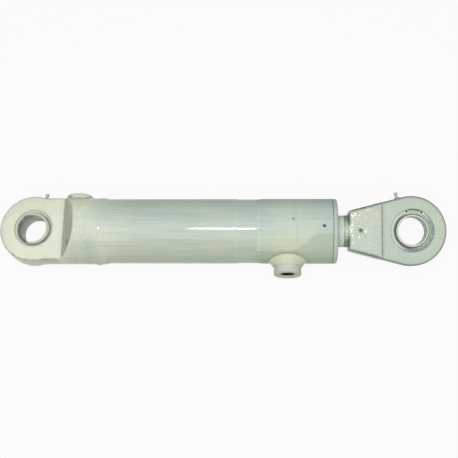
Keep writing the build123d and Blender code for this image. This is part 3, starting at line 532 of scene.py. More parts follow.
# Colour, roughness, metallic share, grain and depth
plain_metals_and_seals = {
    "rod_chrome": ((0.44, 0.45, 0.46), 0.14, 1.0, (1.2, 40.0, 40.0), 0.003),
    "screw_steel": ((0.10, 0.115, 0.115), 0.45, 0.5),
    "machined_steel": ((0.45, 0.45, 0.45), 0.25, 1.0),
    "piston_iron": ((0.20, 0.20, 0.20), 0.40, 0.9),
    "seal_rubber": ((0.02, 0.02, 0.02), 0.55),
    "seal_polyurethane": ((0.05, 0.14, 0.22), 0.30),
    "strip_resin": ((0.20, 0.12, 0.07), 0.50, 0.0, 1.2),
    "seal_ptfe": ((0.13, 0.11, 0.08), 0.40),
}
finishes = {
    # The last colour of each is the painted shade on that forging's walls.
    "forging_enamel": forging_enamel("forging_enamel", BASE_TONES, (0.68, 0.70, 0.67)),
    "eye_enamel": forging_enamel("eye_enamel", EYE_TONES, (0.46, 0.49, 0.48), EYE_STAINS),
    "base_port_bare": port_metal("base_port_bare", BASE_PORT_TOP),
    "head_port_bare": port_metal("head_port_bare", HEAD_PORT_TOP),
}
finishes.update({name: smooth_enamel(name, **look) for name, look in smooth_coats.items()})
finishes.update({name: bearing_metal(name, *look) for name, look in oiled_metals.items()})
finishes.update({name: plain_finish(name, *look) for name, look in plain_metals_and_seals.items()})

for row in frame["record"]["subparts"]:
    thing = frame["nodes"][row["node"]]
    thing.data.materials.clear()
    thing.data.materials.append(finishes[row["material_slot"]])


# Mesh helpers

# Edges above this angle stay sharp on a piece made by nodes, whose fillets have 4 steps
NODE_SHARP = 5


def crease(bm, sharp):
    """Smooth faces, with edges above the angle kept sharp."""
    limit = radians(sharp)
    for face in bm.faces:
        face.smooth = True
    for edge in bm.edges:
        edge.smooth = not (len(edge.link_faces) == 2 and edge.calc_face_angle(0) > limit)


def as_object(name, bm, material):
    """Makes an object of a bmesh in metres."""
    mesh = bpy.data.meshes.new(name)
    bm.to_mesh(mesh)
    bm.free()
    mesh.materials.append(material)
    piece = bpy.data.objects.new(name, mesh)
    bpy.context.scene.collection.objects.link(piece)
    return piece


def new_piece(name, bm, material, sharp=35.0):
    """Makes an object of a bmesh in millimetres, smooth apart from sharp edges."""
    bmesh.ops.recalc_face_normals(bm, faces=bm.faces)
    bmesh.ops.scale(bm, vec=(MM, MM, MM), verts=bm.verts)
    crease(bm, sharp)
    return as_object(name, bm, material)


def applied(piece):
    """The piece with its modifiers turned into mesh."""
    bpy.context.view_layer.update()
    graph = bpy.context.evaluated_depsgraph_get()
    mesh = bpy.data.meshes.new_from_object(piece.evaluated_get(graph))
    piece.modifiers.clear()
    old = piece.data
    piece.data = mesh
    bpy.data.meshes.remove(old)
    return piece


def cut(piece, cutter):
    """Cuts another object out of the piece, and removes it."""
    tool = piece.modifiers.new("cut", "BOOLEAN")
    tool.operation = "DIFFERENCE"
    tool.solver = "EXACT"
    tool.object = cutter
    applied(piece)
    bpy.data.objects.remove(cutter)


def resharpen(piece, sharp=35.0):
    """Faces outward and smooth again, with edges above the angle kept sharp."""
    bm = bmesh.new()
    bm.from_mesh(piece.data)
    bmesh.ops.recalc_face_normals(bm, faces=bm.faces)
    crease(bm, sharp)
    bm.to_mesh(piece.data)
    bm.free()
    return piece


def swept_round(name, sizes, corners, material, radius=0.3, segments=256):
    """A node tree that turns a section round x, with its corners rounded. Each corner gives a named
    size and what is added to it, along x and then outward."""
    shape = Shape(name, {**sizes, "Corner radius": radius, "Segments": segments})

    def size(key, more):
        return shape.size(key) + more if more else shape.size(key)

    points = [(size(x, further), size(out, over)) for x, further, out, over in corners]
    line = shape.get("GeometryNodeMeshLine", None, {"Count": len(points)})
    choose = shape.node("GeometryNodeIndexSwitch", {"data_type": "VECTOR"})
    while len(choose.index_switch_items) < len(points):
        choose.index_switch_items.new()
    plug(shape.tree, choose.inputs[0], shape.get("GeometryNodeInputIndex"))
    for k, (place, out) in enumerate(points):
        plug(shape.tree, choose.inputs[k + 1], shape.spot(out, -1 * place))
    placed = shape.get("GeometryNodeSetPosition", None, {"Geometry": line, "Position": shape.out(choose)})
    curve = shape.get("GeometryNodeMeshToCurve", None, {"Mesh": placed})
    closed = shape.get("GeometryNodeSetSplineCyclic", None, {"Geometry": curve, "Cyclic": True})
    corner = {"Curve": closed, "Count": 4, "Radius": shape.size("Corner radius"), "Limit Radius": True}
    section = shape.get("GeometryNodeFilletCurve", {"mode": "POLY"}, corner)
    path = {"Resolution": shape.size("Segments"), "Radius": 1e-3}
    ring = shape.get("GeometryNodeCurvePrimitiveCircle", {"mode": "RADIUS"}, path)
    level = shape.get("GeometryNodeSetCurveNormal", {"mode": "Z_UP"}, {"Curve": ring})
    swept = shape.get("GeometryNodeCurveToMesh", None, {"Curve": level, "Profile Curve": section})
    return shape.made(name, shape.turned_to_x(swept), material)


def thread(name, turns, pitch, radius, ridge, material, place):
    """A node tree that winds a thread's ridge along a port's wall."""
    shape = Shape(name, {"Turns": turns, "Pitch": pitch, "Radius": radius, "Ridge": ridge})
    winding = {
        "Resolution": 48,
        "Rotations": shape.size("Turns"),
        "Start Radius": shape.size("Radius"),
        "End Radius": shape.size("Radius"),
        "Height": shape.size("Turns") * shape.size("Pitch"),
    }
    spiral = shape.get("GeometryNodeCurveSpiral", None, winding)
    level = shape.get("GeometryNodeSetCurveNormal", {"mode": "Z_UP"}, {"Curve": spiral})
    triangle = {"Resolution": 3, "Radius": shape.size("Ridge")}
    flank = shape.get("GeometryNodeCurvePrimitiveCircle", {"mode": "RADIUS"}, triangle)
    sweep = {"Curve": level, "Profile Curve": flank, "Fill Caps": True}
    swept = shape.get("GeometryNodeCurveToMesh", None, sweep)
    return shape.made(name, shape.turned_to_x(swept), material, place)


def ring_of_holes(name, count, orbit, radius, depth, start, material):
    """A node tree that sets round cutters in a ring about x."""
    shape = Shape(name, {"Count": count, "Orbit": orbit, "Radius": radius, "Depth": depth})
    circle = {"Vertices": shape.size("Count"), "Radius": shape.size("Orbit")}
    ring = shape.get("GeometryNodeMeshCircle", None, circle)
    drill_sizes = {"Vertices": 80, "Radius": shape.size("Radius"), "Depth": shape.size("Depth")}
    hole = shape.get("GeometryNodeMeshCylinder", None, drill_sizes)
    placed = shape.get("GeometryNodeInstanceOnPoints", None, {"Points": ring, "Instance": hole})
    place = Matrix.Translation((start + depth / 2, 0, 0))
    return shape.made(name, shape.turned_to_x(placed, pi / count), material, place)


def rounded(points, radius, steps=4):
    """A closed section with each sharp corner turned into a small arc."""
    made = []
    count = len(points)
    for i, corner in enumerate(points):
        here = Vector(corner)
        back = Vector(points[i - 1]) - here
        ahead = Vector(points[(i + 1) % count]) - here
        turn = back.angle(ahead)
        if here.y < 1e-6 or turn > radians(155):
            made.append(tuple(corner))
            continue
        arc = min(radius / tan(turn / 2), back.length * 0.4, ahead.length * 0.4)
        start = here + back.normalized() * arc
        end = here + ahead.normalized() * arc
        if back.length > 4 * arc:
            made.append(tuple(start + back.normalized() * arc * 0.5))
        for step in range(steps + 1):
            t = step / steps
            made.append(tuple(start * (1 - t) ** 2 + here * (2 * t * (1 - t)) + end * t**2))
        if ahead.length > 4 * arc:
            made.append(tuple(end + ahead.normalized() * arc * 0.5))
    return made


def turned(name, section, material, place=X_AXIS, segments=256, sharp=35.0, ripple=None):
    """Turns a closed section of (along, radius) points round the place's x axis."""
    bm = bmesh.new()
    rings = []
    for index, (distance, radius) in enumerate(section):
        if radius < 1e-6:
            rings.append([bm.verts.new((distance, 0, 0))] * segments)
            continue
        ring = []
        for k in range(segments):
            angle = 2 * pi * k / segments
            r = radius + (ripple(index, angle) if ripple else 0)
            ring.append(bm.verts.new((distance, r * cos(angle), r * sin(angle))))
        rings.append(ring)
    for i, a in enumerate(rings):
        b = rings[(i + 1) % len(rings)]
        if a[0] is a[1] and b[0] is b[1]:
            continue
        for k in range(segments):
            m = (k + 1) % segments
            bm.faces.new(list(dict.fromkeys([a[k], a[m], b[m], b[k]])))
    bmesh.ops.transform(bm, matrix=place, verts=bm.verts)
    return new_piece(name, bm, material, sharp)


def mark(piece, name, values):
    """Stores a value from 0 to 1 at each corner point of the mesh, for its paint."""
    layer = piece.data.attributes.new(name, "FLOAT", "POINT")
    layer.data.foreach_set("value", np.clip(values, 0, 1).astype(np.float32))


def points_of(piece):
    """The mesh's points in millimetres, and its normals."""
    mesh = piece.data
    spots = np.zeros(len(mesh.vertices) * 3, np.float32)
    normals = np.zeros_like(spots)
    mesh.vertices.foreach_get("co", spots)
    mesh.vertex_normals.foreach_get("vector", normals)
    return spots.reshape(-1, 3) / MM, normals.reshape(-1, 3)


def put_points(piece, spots):
    """Moves the mesh's points to places in millimetres."""
    piece.data.vertices.foreach_set("co", (spots * MM).astype(np.float32).ravel())
    piece.data.update()


def seen_from(place, spots):
    """Points in a place's own axes."""
    return (spots - np.array(place.translation)) @ np.array(place.to_3x3())


def edges_of(piece):
    """Both ends of each edge, and how many edges meet at each point."""
    mesh = piece.data
    pairs = np.zeros(len(mesh.edges) * 2, np.int32)
    mesh.edges.foreach_get("vertices", pairs)
    a, b = pairs.reshape(-1, 2).T
    total = len(mesh.vertices)
    return a, b, np.maximum(np.bincount(a, minlength=total) + np.bincount(b, minlength=total), 1)


def evened(piece, values, rounds, share=1.0):
    """Values spread to neighbouring points of the mesh a few times, as far as share says."""
    a, b, count = edges_of(piece)
    total = len(values)
    for _ in range(rounds):
        around = np.bincount(a, values[b], total) + np.bincount(b, values[a], total)
        values = values + (around / count - values) * 0.6 * share
    return values


def curvature(piece, rounds):
    """Positive on outer edges and negative in roots, in 1/mm, evened out a few times."""
    spots, normals = points_of(piece)
    a, b, count = edges_of(piece)
    gap = spots[b] - spots[a]
    length = np.maximum((gap**2).sum(1), 0.04)
    bend = -(gap * normals[a]).sum(1) / length
    back = (gap * normals[b]).sum(1) / length
    total = np.bincount(a, bend, len(spots)) + np.bincount(b, back, len(spots))
    return evened(piece, total / count * 2, rounds)


def ramp(values, low, high):
    """0 at low, 1 at high, smooth between, for a number or an array."""
    t = np.clip((values - low) / (high - low), 0, 1)
    return t * t * (3 - 2 * t)


def fade(value, low, high):
    """The same for one number, where it is asked for at every point."""
    t = min(1.0, max(0.0, (value - low) / (high - low)))
    return t * t * (3 - 2 * t)


def wear(piece, body, node=None):
    """Puts a finished piece on its body and in place of its node."""
    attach(piece, body)
    if node:
        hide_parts(node)


# Forgings


def forged(name, node, plugs, grain, relief, material, soft=None):
    """A node's shape with the soft edges and the skin of a forging, softer where soft says. The
    plugs fill its machined holes, which are cut again once the skin is on."""
    bm = bmesh.new()
    bm.from_mesh(frame["nodes"][node].data)
    bmesh.ops.scale(bm, vec=(1 / MM,) * 3, verts=bm.verts)
    bmesh.ops.remove_doubles(bm, verts=bm.verts, dist=1e-4)
    for place, start, end, radius in plugs:
        bmesh.ops.create_cone(
            bm,
            cap_ends=True,
            segments=96,
            radius1=radius,
            radius2=radius,
            depth=end - start,
            matrix=place @ Matrix.Rotation(pi / 2, 4, "Y") @ Matrix.Translation((0, 0, (start + end) / 2)),
        )
    for face in bm.faces:
        face.smooth = True
    bmesh.ops.scale(bm, vec=(MM,) * 3, verts=bm.verts)
    piece = as_object(name, bm, material)
    skin = piece.modifiers.new("skin", "REMESH")
    skin.mode = "VOXEL"
    skin.voxel_size = grain * MM
    skin.use_smooth_shade = True
    soften = piece.modifiers.new("soften", "SMOOTH")
    soften.factor = 0.5
    soften.iterations = 2
    applied(piece)
    spots, normals = points_of(piece)
    if soft:
        share = np.array([soft(Vector(map(float, p))) for p in spots])
        for axis in range(3):
            spots[:, axis] = evened(piece, spots[:, axis], 60, share)
        put_points(piece, spots)
        normals = points_of(piece)[1]
    push = np.array([relief(Vector(map(float, p)), n) for p, n in zip(spots, normals)])
    put_points(piece, spots + normals * push[:, None])
    return piece


def chip_gap(x, y, z):
    """Distance from the middle of the shoulder's chip, as a share of the chip's size."""
    round_bar = y * cos(CHIP_LEAN) + z * sin(CHIP_LEAN)
    return np.hypot((x - CHIP_MIDDLE[0]) / CHIP_HALF[0], (round_bar - CHIP_MIDDLE[1]) / CHIP_HALF[1])


def base_relief(p, n):
    """How far the base end's skin stands out, in millimetres."""
    pin_distance = hypot(p.x, p.y)
    port_distance = hypot(p.x - BASE_PORT_X, p.z)
    calm = fade(pin_distance, 41.0, 46.0) * (1 - fade(p.x, 108.0, 118.0))
    if p.y > 50:
        calm *= fade(port_distance, 24.0, 30.0)
    milled_flat = abs(n[2]) > 0.9 and p.x < 52
    skin = noise.noise(p / 6.5) * 0.34 + noise.noise(p / 2.8) * 0.20
    skin *= 0.35 if milled_flat else 1.0
    inside = max(EYE_R - pin_distance, 56.07 - abs(p.y) if p.x > 0 else 0.0, 0.0)
    from_edge = inside + max(EYE_HALF - abs(p.z), 0.0)
    wide_tears = 3.4 * noise.noise(Vector((p.x / 8.0, 1.7, p.z / 9.0)))
    small_tears = 2.0 * noise.noise(Vector((p.x / 3.0, 5.1, p.z / 9.0)))
    low_side = fade(-p.y, 12.0, 40.0) * (1 - fade(p.x, 48.0, 54.0))
    chips = -0.75 * max(0.0, 2.6 + wide_tears + small_tears - from_edge) * low_side
    spall = -2.5 * max(0.0, 1 - chip_gap(*p)) * fade(p.z, 20.0, 26.0)
    spall *= 0.6 + noise.noise(p / 2.2)
    drip = (Vector((p.x - 118.0, (p.z + 17.0) * 0.6)).length / 8.5) ** 2
    lump = 2.0 * max(0.0, 1 - drip) if p.y < -40 else 0.0
    return calm * (skin + chips + spall) + lump


def rod_relief(p, n):
    """How far the rod eye's skin stands out, in millimetres."""
    local = TO_ROD_EYE @ p
    pin_distance = hypot(local.x, local.y)
    calm = fade(pin_distance, 41.0, 46.0) * fade(p.x, BLOCK_START - 6, BLOCK_START + 1)
    thick = 1 - fade(local.x, -56.0, -53.0)
    skin = noise.noise(p / 6.0) * 0.28 + noise.noise(p / 2.6) * 0.20
    return calm * skin * (0.45 + 0.55 * thick)


def rod_softness(p):
    """How much rounder than elsewhere the rod eye's forged edges are."""
    local = TO_ROD_EYE @ p
    block = (1 - fade(local.x, -60.0, -56.0)) * fade(local.x, -109.5, -107.5)
    rim = fade(hypot(local.x, local.y), 44.0, 50.0) * 0.25
    return max(block, rim * fade(local.x, -52.0, -48.0))


SEAT_PLUG_R = 41.0
base_plugs = [
    (BASE_PIN_LINE, -EYE_HALF, EYE_HALF, SEAT_PLUG_R),
    (BASE_PORT_LINE, 0.0, BASE_PORT_TOP, 20.0),
    (X_AXIS, BASE_PORT_X - 10, CAP_FACE, 38.0),
]
rod_plugs = [(ROD_PIN_LINE, -EYE_HALF, EYE_HALF, SEAT_PLUG_R)]
base_forging = forged("base_forging", "base_end", base_plugs, 1.1, base_relief, finishes["forging_enamel"])
rod_forging = forged(
    "rod_forging", "rod_eye", rod_plugs, 1.0, rod_relief, finishes["eye_enamel"], rod_softness
)


def bearing_seat(name, line, lip_side):
    """Cutter of an eye's bearing seat, with its lip and circlip groove."""
    groove_end = -RING_HALF - 2.65
    mouth = [(-EYE_HALF - 1, 0), (-EYE_HALF - 1, SEAT_R + 2), (-EYE_HALF + 1, SEAT_R)]
    groove = [(groove_end, SEAT_R), (groove_end, GROOVE_R), (-RING_HALF, GROOVE_R), (-RING_HALF, SEAT_R)]
    lip = [(RING_HALF, SEAT_R), (RING_HALF, LIP_R), (EYE_HALF - 0.8, LIP_R), (EYE_HALF + 1, LIP_R + 1.8)]
    section = [(lip_side * a, r) for a, r in mouth + groove + lip + [(EYE_HALF + 1, 0)]]
    return turned(name, section, finishes["bearing_steel"], line)


def port_wall(top):
    """The wall of a port from its mouth to the end of its thread."""
    return [(top - 2.4, PORT_R), (top - 20, PORT_R), (top - 22.75, OIL_R)]


def port_bore(name, line, top, bottom):
    """Cutter of a port: mouth, thread bore and oil hole."""
    section = [(top + 1, 0), (top + 1, PORT_R + 3.2)] + port_wall(top) + [(bottom, OIL_R), (bottom, 0)]
    return turned(name, section, finishes["base_port_bare"], line, 96)


def drill(name, line, start, end, radius, segments=96):
    """Cutter of a plain round hole."""
    section = [(start, 0), (start, radius), (end, radius), (end, 0)]
    return turned(name, section, finishes["screw_steel"], line, segments)


def nipple_hole(name, line, run):
    """Cutter of a grease nipple's spot face, thread and oil hole."""
    spot_face, tapped, oil = 6.0, 4.0, 1.75
    section = [(14.0, 0), (14.0, spot_face), (0, spot_face), (0, tapped), (-7.0, tapped), (-7.0, oil)]
    return turned(name, section + [(-run, oil), (-run, 0)], finishes["nipple_steel"], line, 48)


NIPPLE_ANGLE = radians(13.6)
nipple_side = Vector((sin(NIPPLE_ANGLE), cos(NIPPLE_ANGLE), 0))
BASE_NIPPLE_LINE = along(nipple_side * (CAP_R / cos(NIPPLE_ANGLE) - 1.4), nipple_side)
ROD_NIPPLE_X = -24.4
flank_side = Vector((-sin(FLANK), cos(FLANK), 0))
flank_height = FLANK_START[1] + (ROD_NIPPLE_X - FLANK_START[0]) * tan(FLANK)
ROD_NIPPLE_LINE = ROD_EYE @ along(Vector((ROD_NIPPLE_X, flank_height, 0)) - flank_side * 1.2, flank_side)

cut(base_forging, bearing_seat("base_seat_cutter", BASE_PIN_LINE, 1))
cut(base_forging, port_bore("base_port_cutter", BASE_PORT_LINE, BASE_PORT_TOP, -OIL_R))
cut(base_forging, drill("recess_cutter", X_AXIS, NUT_RECESS, CAP_FACE + 1, NUT_RECESS_R, 192))
cut(base_forging, drill("base_oil_cutter", X_AXIS, BASE_PORT_X, NUT_RECESS + 1, OIL_R, 48))
cut(base_forging, nipple_hole("base_nipple_cutter", BASE_NIPPLE_LINE, 23.5))
cut(rod_forging, bearing_seat("rod_seat_cutter", ROD_PIN_LINE, -1))
cut(rod_forging, nipple_hole("rod_nipple_cutter", ROD_NIPPLE_LINE, 24.0))


def mark_shade_and_skin(piece, eye):
    """Marks a forging for its enamel: painted shade on its walls, rims and roots (roots with grime too),
    a painted highlight on its ridges, painted light on the base bar, its chip and its coarse places.
    """
    spots, normals = points_of(piece)
    x, y, z = spots.T
    local_x, local_y, local_z = seen_from(eye, spots).T
    from_pin = np.hypot(local_x, local_y)
    seat = ramp(from_pin, 42, 46)
    bend = curvature(piece, 5)
    face_on = np.abs(normals @ np.array(eye.to_3x3())[:, 2])
    # Painted shade on faces turned sideways, and on roots, together with grime there.
    side = 1 - ramp(face_on, 0.45, 0.93)
    root = ramp(-bend, 0.05, 0.18)
    if eye is BASE_EYE:
        eye_part = 1 - ramp(local_x, 44, 52)
        # Painted shade: the shoulder's face turned back and the bar's lower side are darker.
        shoulder = 0.9 * ramp(-normals[:, 0], 0.35, 0.6) * ramp(x, 50, 54) * (1 - ramp(x, 74, 80))
        under = 0.2 * ramp(x, 60, 75) + 0.15 * ramp(x, 85, 105) * (1 - ramp(x, 104, 120))
        shade = np.maximum(shoulder, ramp(-y, -5, 45) * under)
        root = root * ramp(local_x, 30, 48)
        # Painted shade: a dark outline along the eye's rim, strongest at its upper edge.
        edge = EYE_R - from_pin
        top = ramp(local_y - local_x, -30, 50) * (1 - ramp(local_x, 10, 40))
        rim = (1 - ramp(edge, 0, 16)) * 0.3 + (1 - ramp(edge, 0.5, 3.0)) * 0.8
        # Painted light: a lighter band along the upper middle of the bar.
        lit = ramp(y, -8, 12) * (1 - ramp(y, 36, 54)) * ramp(x, 58, 72) * (1 - 0.9 * ramp(x, 88, 118))
        coarse = ramp(x, 50, 66) * (1 - ramp(x, 100, 116))
        mark(piece, "lit", lit)
        mark(piece, "chip", (1 - ramp(chip_gap(x, y, z), 0.5, 1.0)) * ramp(z, 20, 26))
    else:
        eye_part = 1.0
        block = 1 - ramp(local_x, -62, -56)
        # Painted shade on the block's rounded edges.
        side = np.maximum(side, block * (1 - ramp(face_on, 0.70, 0.985)))
        shade = 0.0
        # Painted shadow: a dark crescent in the groove between the circlip's lugs.
        turn = np.abs(np.arctan2(local_x, local_y) - CLIP_TURN)
        crescent = (from_pin < GROOVE_R + 0.4) * ramp(local_z, 14, 17)
        crescent = crescent * (1 - ramp(turn, LUG_ANGLE, LUG_ANGLE + 0.12))
        root = np.maximum(root * ramp(-local_x, 30, 48) * ramp(x - ROD_END, 3, 9), crescent)
        # Painted shade: a dark outline along the eye's rim and flanks, strongest at its top.
        circle = 61.5 - np.hypot(local_x + 2, local_y)
        flank = (FLANK_START[1] + (local_x - FLANK_START[0]) * tan(FLANK) - np.abs(local_y)) * cos(FLANK)
        edge = np.where(local_x < -17, flank, circle)
        top = 0.5 + 0.5 * ramp(local_y - local_x * 0.3, -5, 25)
        rim = (1 - ramp(edge, 0, 12)) * 0.22 + (1 - ramp(edge, 1.0, 4.0)) * 0.6
        coarse = 1 - 0.7 * ramp(local_x, -60, -50)
    side = side * (0.3 + 0.7 * ramp(face_on, 0.08, 0.30))
    mark(piece, "wall", np.maximum(evened(piece, side, 5) * 1.25 * eye_part * seat, shade))
    # Painted highlight: convex ridges lighter, with thinner paint on the edges.
    mark(piece, "ridge", ramp(bend, 0.06, 0.22) * seat)
    mark(piece, "root", root)
    mark(piece, "rim", rim * top)
    mark(piece, "coarse", coarse * seat)


def bare_port(piece, end, port_x, wanted):
    """Gives the faces round a port that are wanted its bare metal."""
    piece.data.materials.append(finishes[f"{end}_port_bare"])
    for face in piece.data.polygons:
        spot = face.center / MM
        if wanted(spot, face.normal, hypot(spot.x - port_x, spot.z)):
            face.material_index = 1


for piece in (base_forging, rod_forging):
    resharpen(piece, 40)
bare_port(base_forging, "base", BASE_PORT_X, lambda spot, normal, gap: spot.y > 30 and gap < PORT_R + 0.5)
mark_shade_and_skin(base_forging, BASE_EYE)
mark_shade_and_skin(rod_forging, ROD_EYE)
wear(base_forging, "barrel", "base_end")
wear(rod_forging, "rod", "rod_eye")


# Barrel: tube, welds, head and gland


# Section of the tube: weld bevels at both ends, and the turned band next to the head
tube_corners = [
    ("Start", 0, "Bore", 0),
    ("Start", 0, "Bore", 6.0),
    ("Start", CAP_WELD_HALF, "Outside", 0),
    ("Band start", 0, "Outside", 0),
    ("Band start", 0.5, "Band", 0),
    ("End", -HEAD_WELD_HALF, "Band", 0),
    ("End", 0, "Bore", 4.0),
    ("End", 0, "Bore", 0),
]
tube_sizes = {"Start": CAP_END, "End": HEAD_START, "Bore": BORE_R, "Outside": TUBE_R}
tube_sizes.update({"Band start": BAND_START, "Band": BAND_R})
tube = swept_round("tube", tube_sizes, tube_corners, finishes["tube_enamel"])
wear(tube, "barrel", "barrel_tube")


def cap_ripple(index, angle):
    """Low waves of the dressed weld, and the lump where it was finished."""
    lump = max(0.0, cos(angle - pi)) ** 40 * 1.4
    return noise.noise(Vector((index * 0.9, cos(angle) * 9, sin(angle) * 9))) * 0.12 + lump


cap_root = [
    (CAP_END - CAP_WELD_HALF, CAP_R - 0.6),
    (CAP_END, BORE_R + 6.0),
    (CAP_END + CAP_WELD_HALF, TUBE_R - 0.6),
]
cap_crown = [
    (CAP_END + CAP_WELD_HALF * (1 - 2 * t), TUBE_R + (CAP_R - TUBE_R) * t + 0.7 * sin(pi * t))
    for t in (0.0, 0.12, 0.25, 0.4, 0.55, 0.7, 0.85, 1.0)
]
cap_weld = turned(
    "cap_weld", cap_root + cap_crown, finishes["weld_enamel"], ripple=cap_ripple, sharp=60
)
spots, normals = points_of(cap_weld)
nib_gap = np.linalg.norm(spots - np.array(PAINT_NIB), axis=1)
put_points(cap_weld, spots + normals * (0.8 * np.maximum(0, 1 - (nib_gap / 3.5) ** 2))[:, None])
# The nib's mark is a painted glint.
mark(cap_weld, "nib", 1 - ramp(nib_gap, 0.9, 2.6))
wear(cap_weld, "barrel", "base_end_weld")

weld_section = [(-HEAD_WELD_HALF, BAND_R), (0.0, BORE_R + 4.0), (HEAD_WELD_HALF, TUBE_R)]
weld_section += [(2.5, TUBE_R), (2.2, BAND_R)]
weld_section = rounded([(HEAD_START + a, r) for a, r in weld_section], 0.25)
head_weld = turned("head_weld_bead", weld_section, finishes["head_enamel"])
wear(head_weld, "barrel", "head_weld")


# Section of the head: weld bevel, bore, and the wider seat of the gland's thread
head_corners = [
    ("Start", 0, "Bore", 0),
    ("Start", 0, "Bore", 4.0),
    ("Start", HEAD_WELD_HALF, "Outside", 0),
    ("End", -0.6, "Outside", 0),
    ("End", 0, "Outside", -0.7),
    ("End", 0, "Seat", 0),
    ("Thread start", 0, "Seat", 0),
    ("Thread start", -2.0, "Bore", 0),
]
head_sizes = {"Start": HEAD_START, "End": TUBE_END, "Bore": BORE_R, "Outside": TUBE_R}
head_sizes.update({"Seat": 47.5, "Thread start": 488.0})
LOCK_ANGLE = radians(8.3)
LOCK_LINE = along((TUBE_END - 15.8, 0, 0), (0, -sin(LOCK_ANGLE), cos(LOCK_ANGLE)), (1, 0, 0))
PUNCH_LINE = along((PUNCH_X, 0, 0), (0, sin(PUNCH_ANGLE), cos(PUNCH_ANGLE)), (1, 0, 0))
punch_point = [(55.2, 0), (55.6, 1.3), (57.0, 2.8), (60.0, 4.0), (60.0, 0)]
head = swept_round("head_tube", head_sizes, head_corners, finishes["head_enamel"])
cut(head, drill("lock_cutter", LOCK_LINE, 40, 62, 3.0))
cut(head, drill("oil_cutter", HEAD_PORT_LINE, 30, 62, OIL_R))
cut(head, turned("punch_cutter", punch_point, finishes["screw_steel"], PUNCH_LINE, 32))
resharpen(head, NODE_SHARP)
wear(head, "barrel", "barrel_head")


# Section of the gland: its flange, the wiper's seat, and the nose in the head
gland_corners = [
    ("Seam", 0, "Shank", 0),
    ("Seam", 0, "Outside", -1.5),
    ("Seam", 0.5, "Outside", -1.5),
    ("Seam", 1.0, "Outside", 0),
    ("Face", -4.6, "Outside", 0),
    ("Face", -2.3, "Outside", -0.5),
    ("Face", -0.8, "Outside", -1.8),
    ("Face", 0, "Outside", -4.6),
    ("Face", 0, "Wiper seat", 0),
    ("Face", -7.0, "Wiper seat", 0),
    ("Face", -7.0, "Bore", 0),
    ("Nose", 0, "Bore", 0),
    ("Nose", 0, "Shank", 0),
]
gland_sizes = {"Seam": TUBE_END, "Face": GLAND_FACE, "Nose": reach("gland", X, LOW), "Outside": TUBE_R}
gland_sizes.update({"Shank": 40.0, "Bore": ROD_R + 0.5, "Wiper seat": 32.5})
gland = swept_round("gland_flange", gland_sizes, gland_corners, finishes["head_enamel"], 0.35)
cut(gland, ring_of_holes("spanner_holes", 4, 46.0, 4.0, 8.0, GLAND_FACE - 6.0, finishes["screw_steel"]))
resharpen(gland, NODE_SHARP)
wear(gland, "barrel", "gland")

# Head port: boss, thread ridges and the fillet weld round the boss

boss_section = [(30.0, OIL_R), (30.0, BOSS_R), (HEAD_PORT_TOP, BOSS_R), (HEAD_PORT_TOP, PORT_R + 2.2)]
boss_section = rounded(boss_section + port_wall(HEAD_PORT_TOP), 0.9)
boss = turned("head_boss", boss_section, finishes["boss_enamel"], HEAD_PORT_LINE, 160)
cut(boss, drill("saddle_cutter", X_AXIS, 380, 520, TUBE_R, 256))
resharpen(boss)
bare_port(boss, "head", HEAD_PORT_X, lambda spot, normal, gap: gap < PORT_R + 2.1 and abs(normal.y) < 0.8)
wear(boss, "barrel", "head_port_boss")

for end, line, top in (("base", BASE_PORT_LINE, BASE_PORT_TOP), ("head", HEAD_PORT_LINE, HEAD_PORT_TOP)):
    start = line @ Matrix.Translation((top - THREAD_START, 0, 0))
    ridge = thread(f"{end}_port_thread", 8.0, 2.0, PORT_R + 0.25, 0.85, finishes[f"{end}_port_bare"], start)
    wear(ridge, "barrel")


def port_weld():
    """The fillet weld: a flared skirt in three layers from the boss down to the tube."""
    around, up = 180, 26
    inner, throat, rim = BOSS_R - 0.4, BOSS_R + 0.3, TUBE_R + 8.5
    bm = bmesh.new()
    loops = []
    for k in range(around):
        angle = 2 * pi * k / around
        c, s = cos(angle), sin(angle)
        toe_x, toe_z = WELD_TOE[0] * c, WELD_TOE[1] * s
        loop = []
        for j in range(up + 1):
            t = j / up
            wave = noise.noise(Vector((c * 7, s * 7, t * 4))) * 0.6 * sin(pi * t)
            swell = 0.8 * abs(sin(3 * pi * t)) * (1 - t)
            x = (throat + swell) * c * (1 - t) + toe_x * t
            z = (throat + swell) * s * (1 - t) + toe_z * t
            ground = sqrt(TUBE_R**2 - z * z)
            height = rim + (ground - rim) * (1 - (1 - t) ** 1.6)
            height = max(height + wave + 1.2 * swell, ground - 0.4 * t)
            loop.append(bm.verts.new((HEAD_PORT_X + x, -height, z)))
        hidden = [(toe_x, toe_z, 1.2), (throat * c, throat * s, 1.2), (inner * c, inner * s, -8.0)]
        for x, z, drop in hidden:
            loop.append(bm.verts.new((HEAD_PORT_X + x, drop - sqrt(TUBE_R**2 - z * z), z)))
        loops.append(loop)
    for k in range(around):
        a, b = loops[k], loops[(k + 1) % around]
        for j in range(len(a)):
            m = (j + 1) % len(a)
            bm.faces.new((a[j], a[m], b[m], b[j]))
    return new_piece("head_port_bead", bm, finishes["bead_enamel"], 60)


wear(port_weld(), "barrel", "head_port_weld")

# Bearings: each with its ball, outer ring and circlip


def spherical(radius, start, end, steps=24):
    """Points of a sphere's outline between two places along its axis."""
    first, last = asin(start / radius), asin(end / radius)
    angles = [first + (last - first) * k / steps for k in range(steps + 1)]
    return [(radius * sin(a), radius * cos(a)) for a in angles]


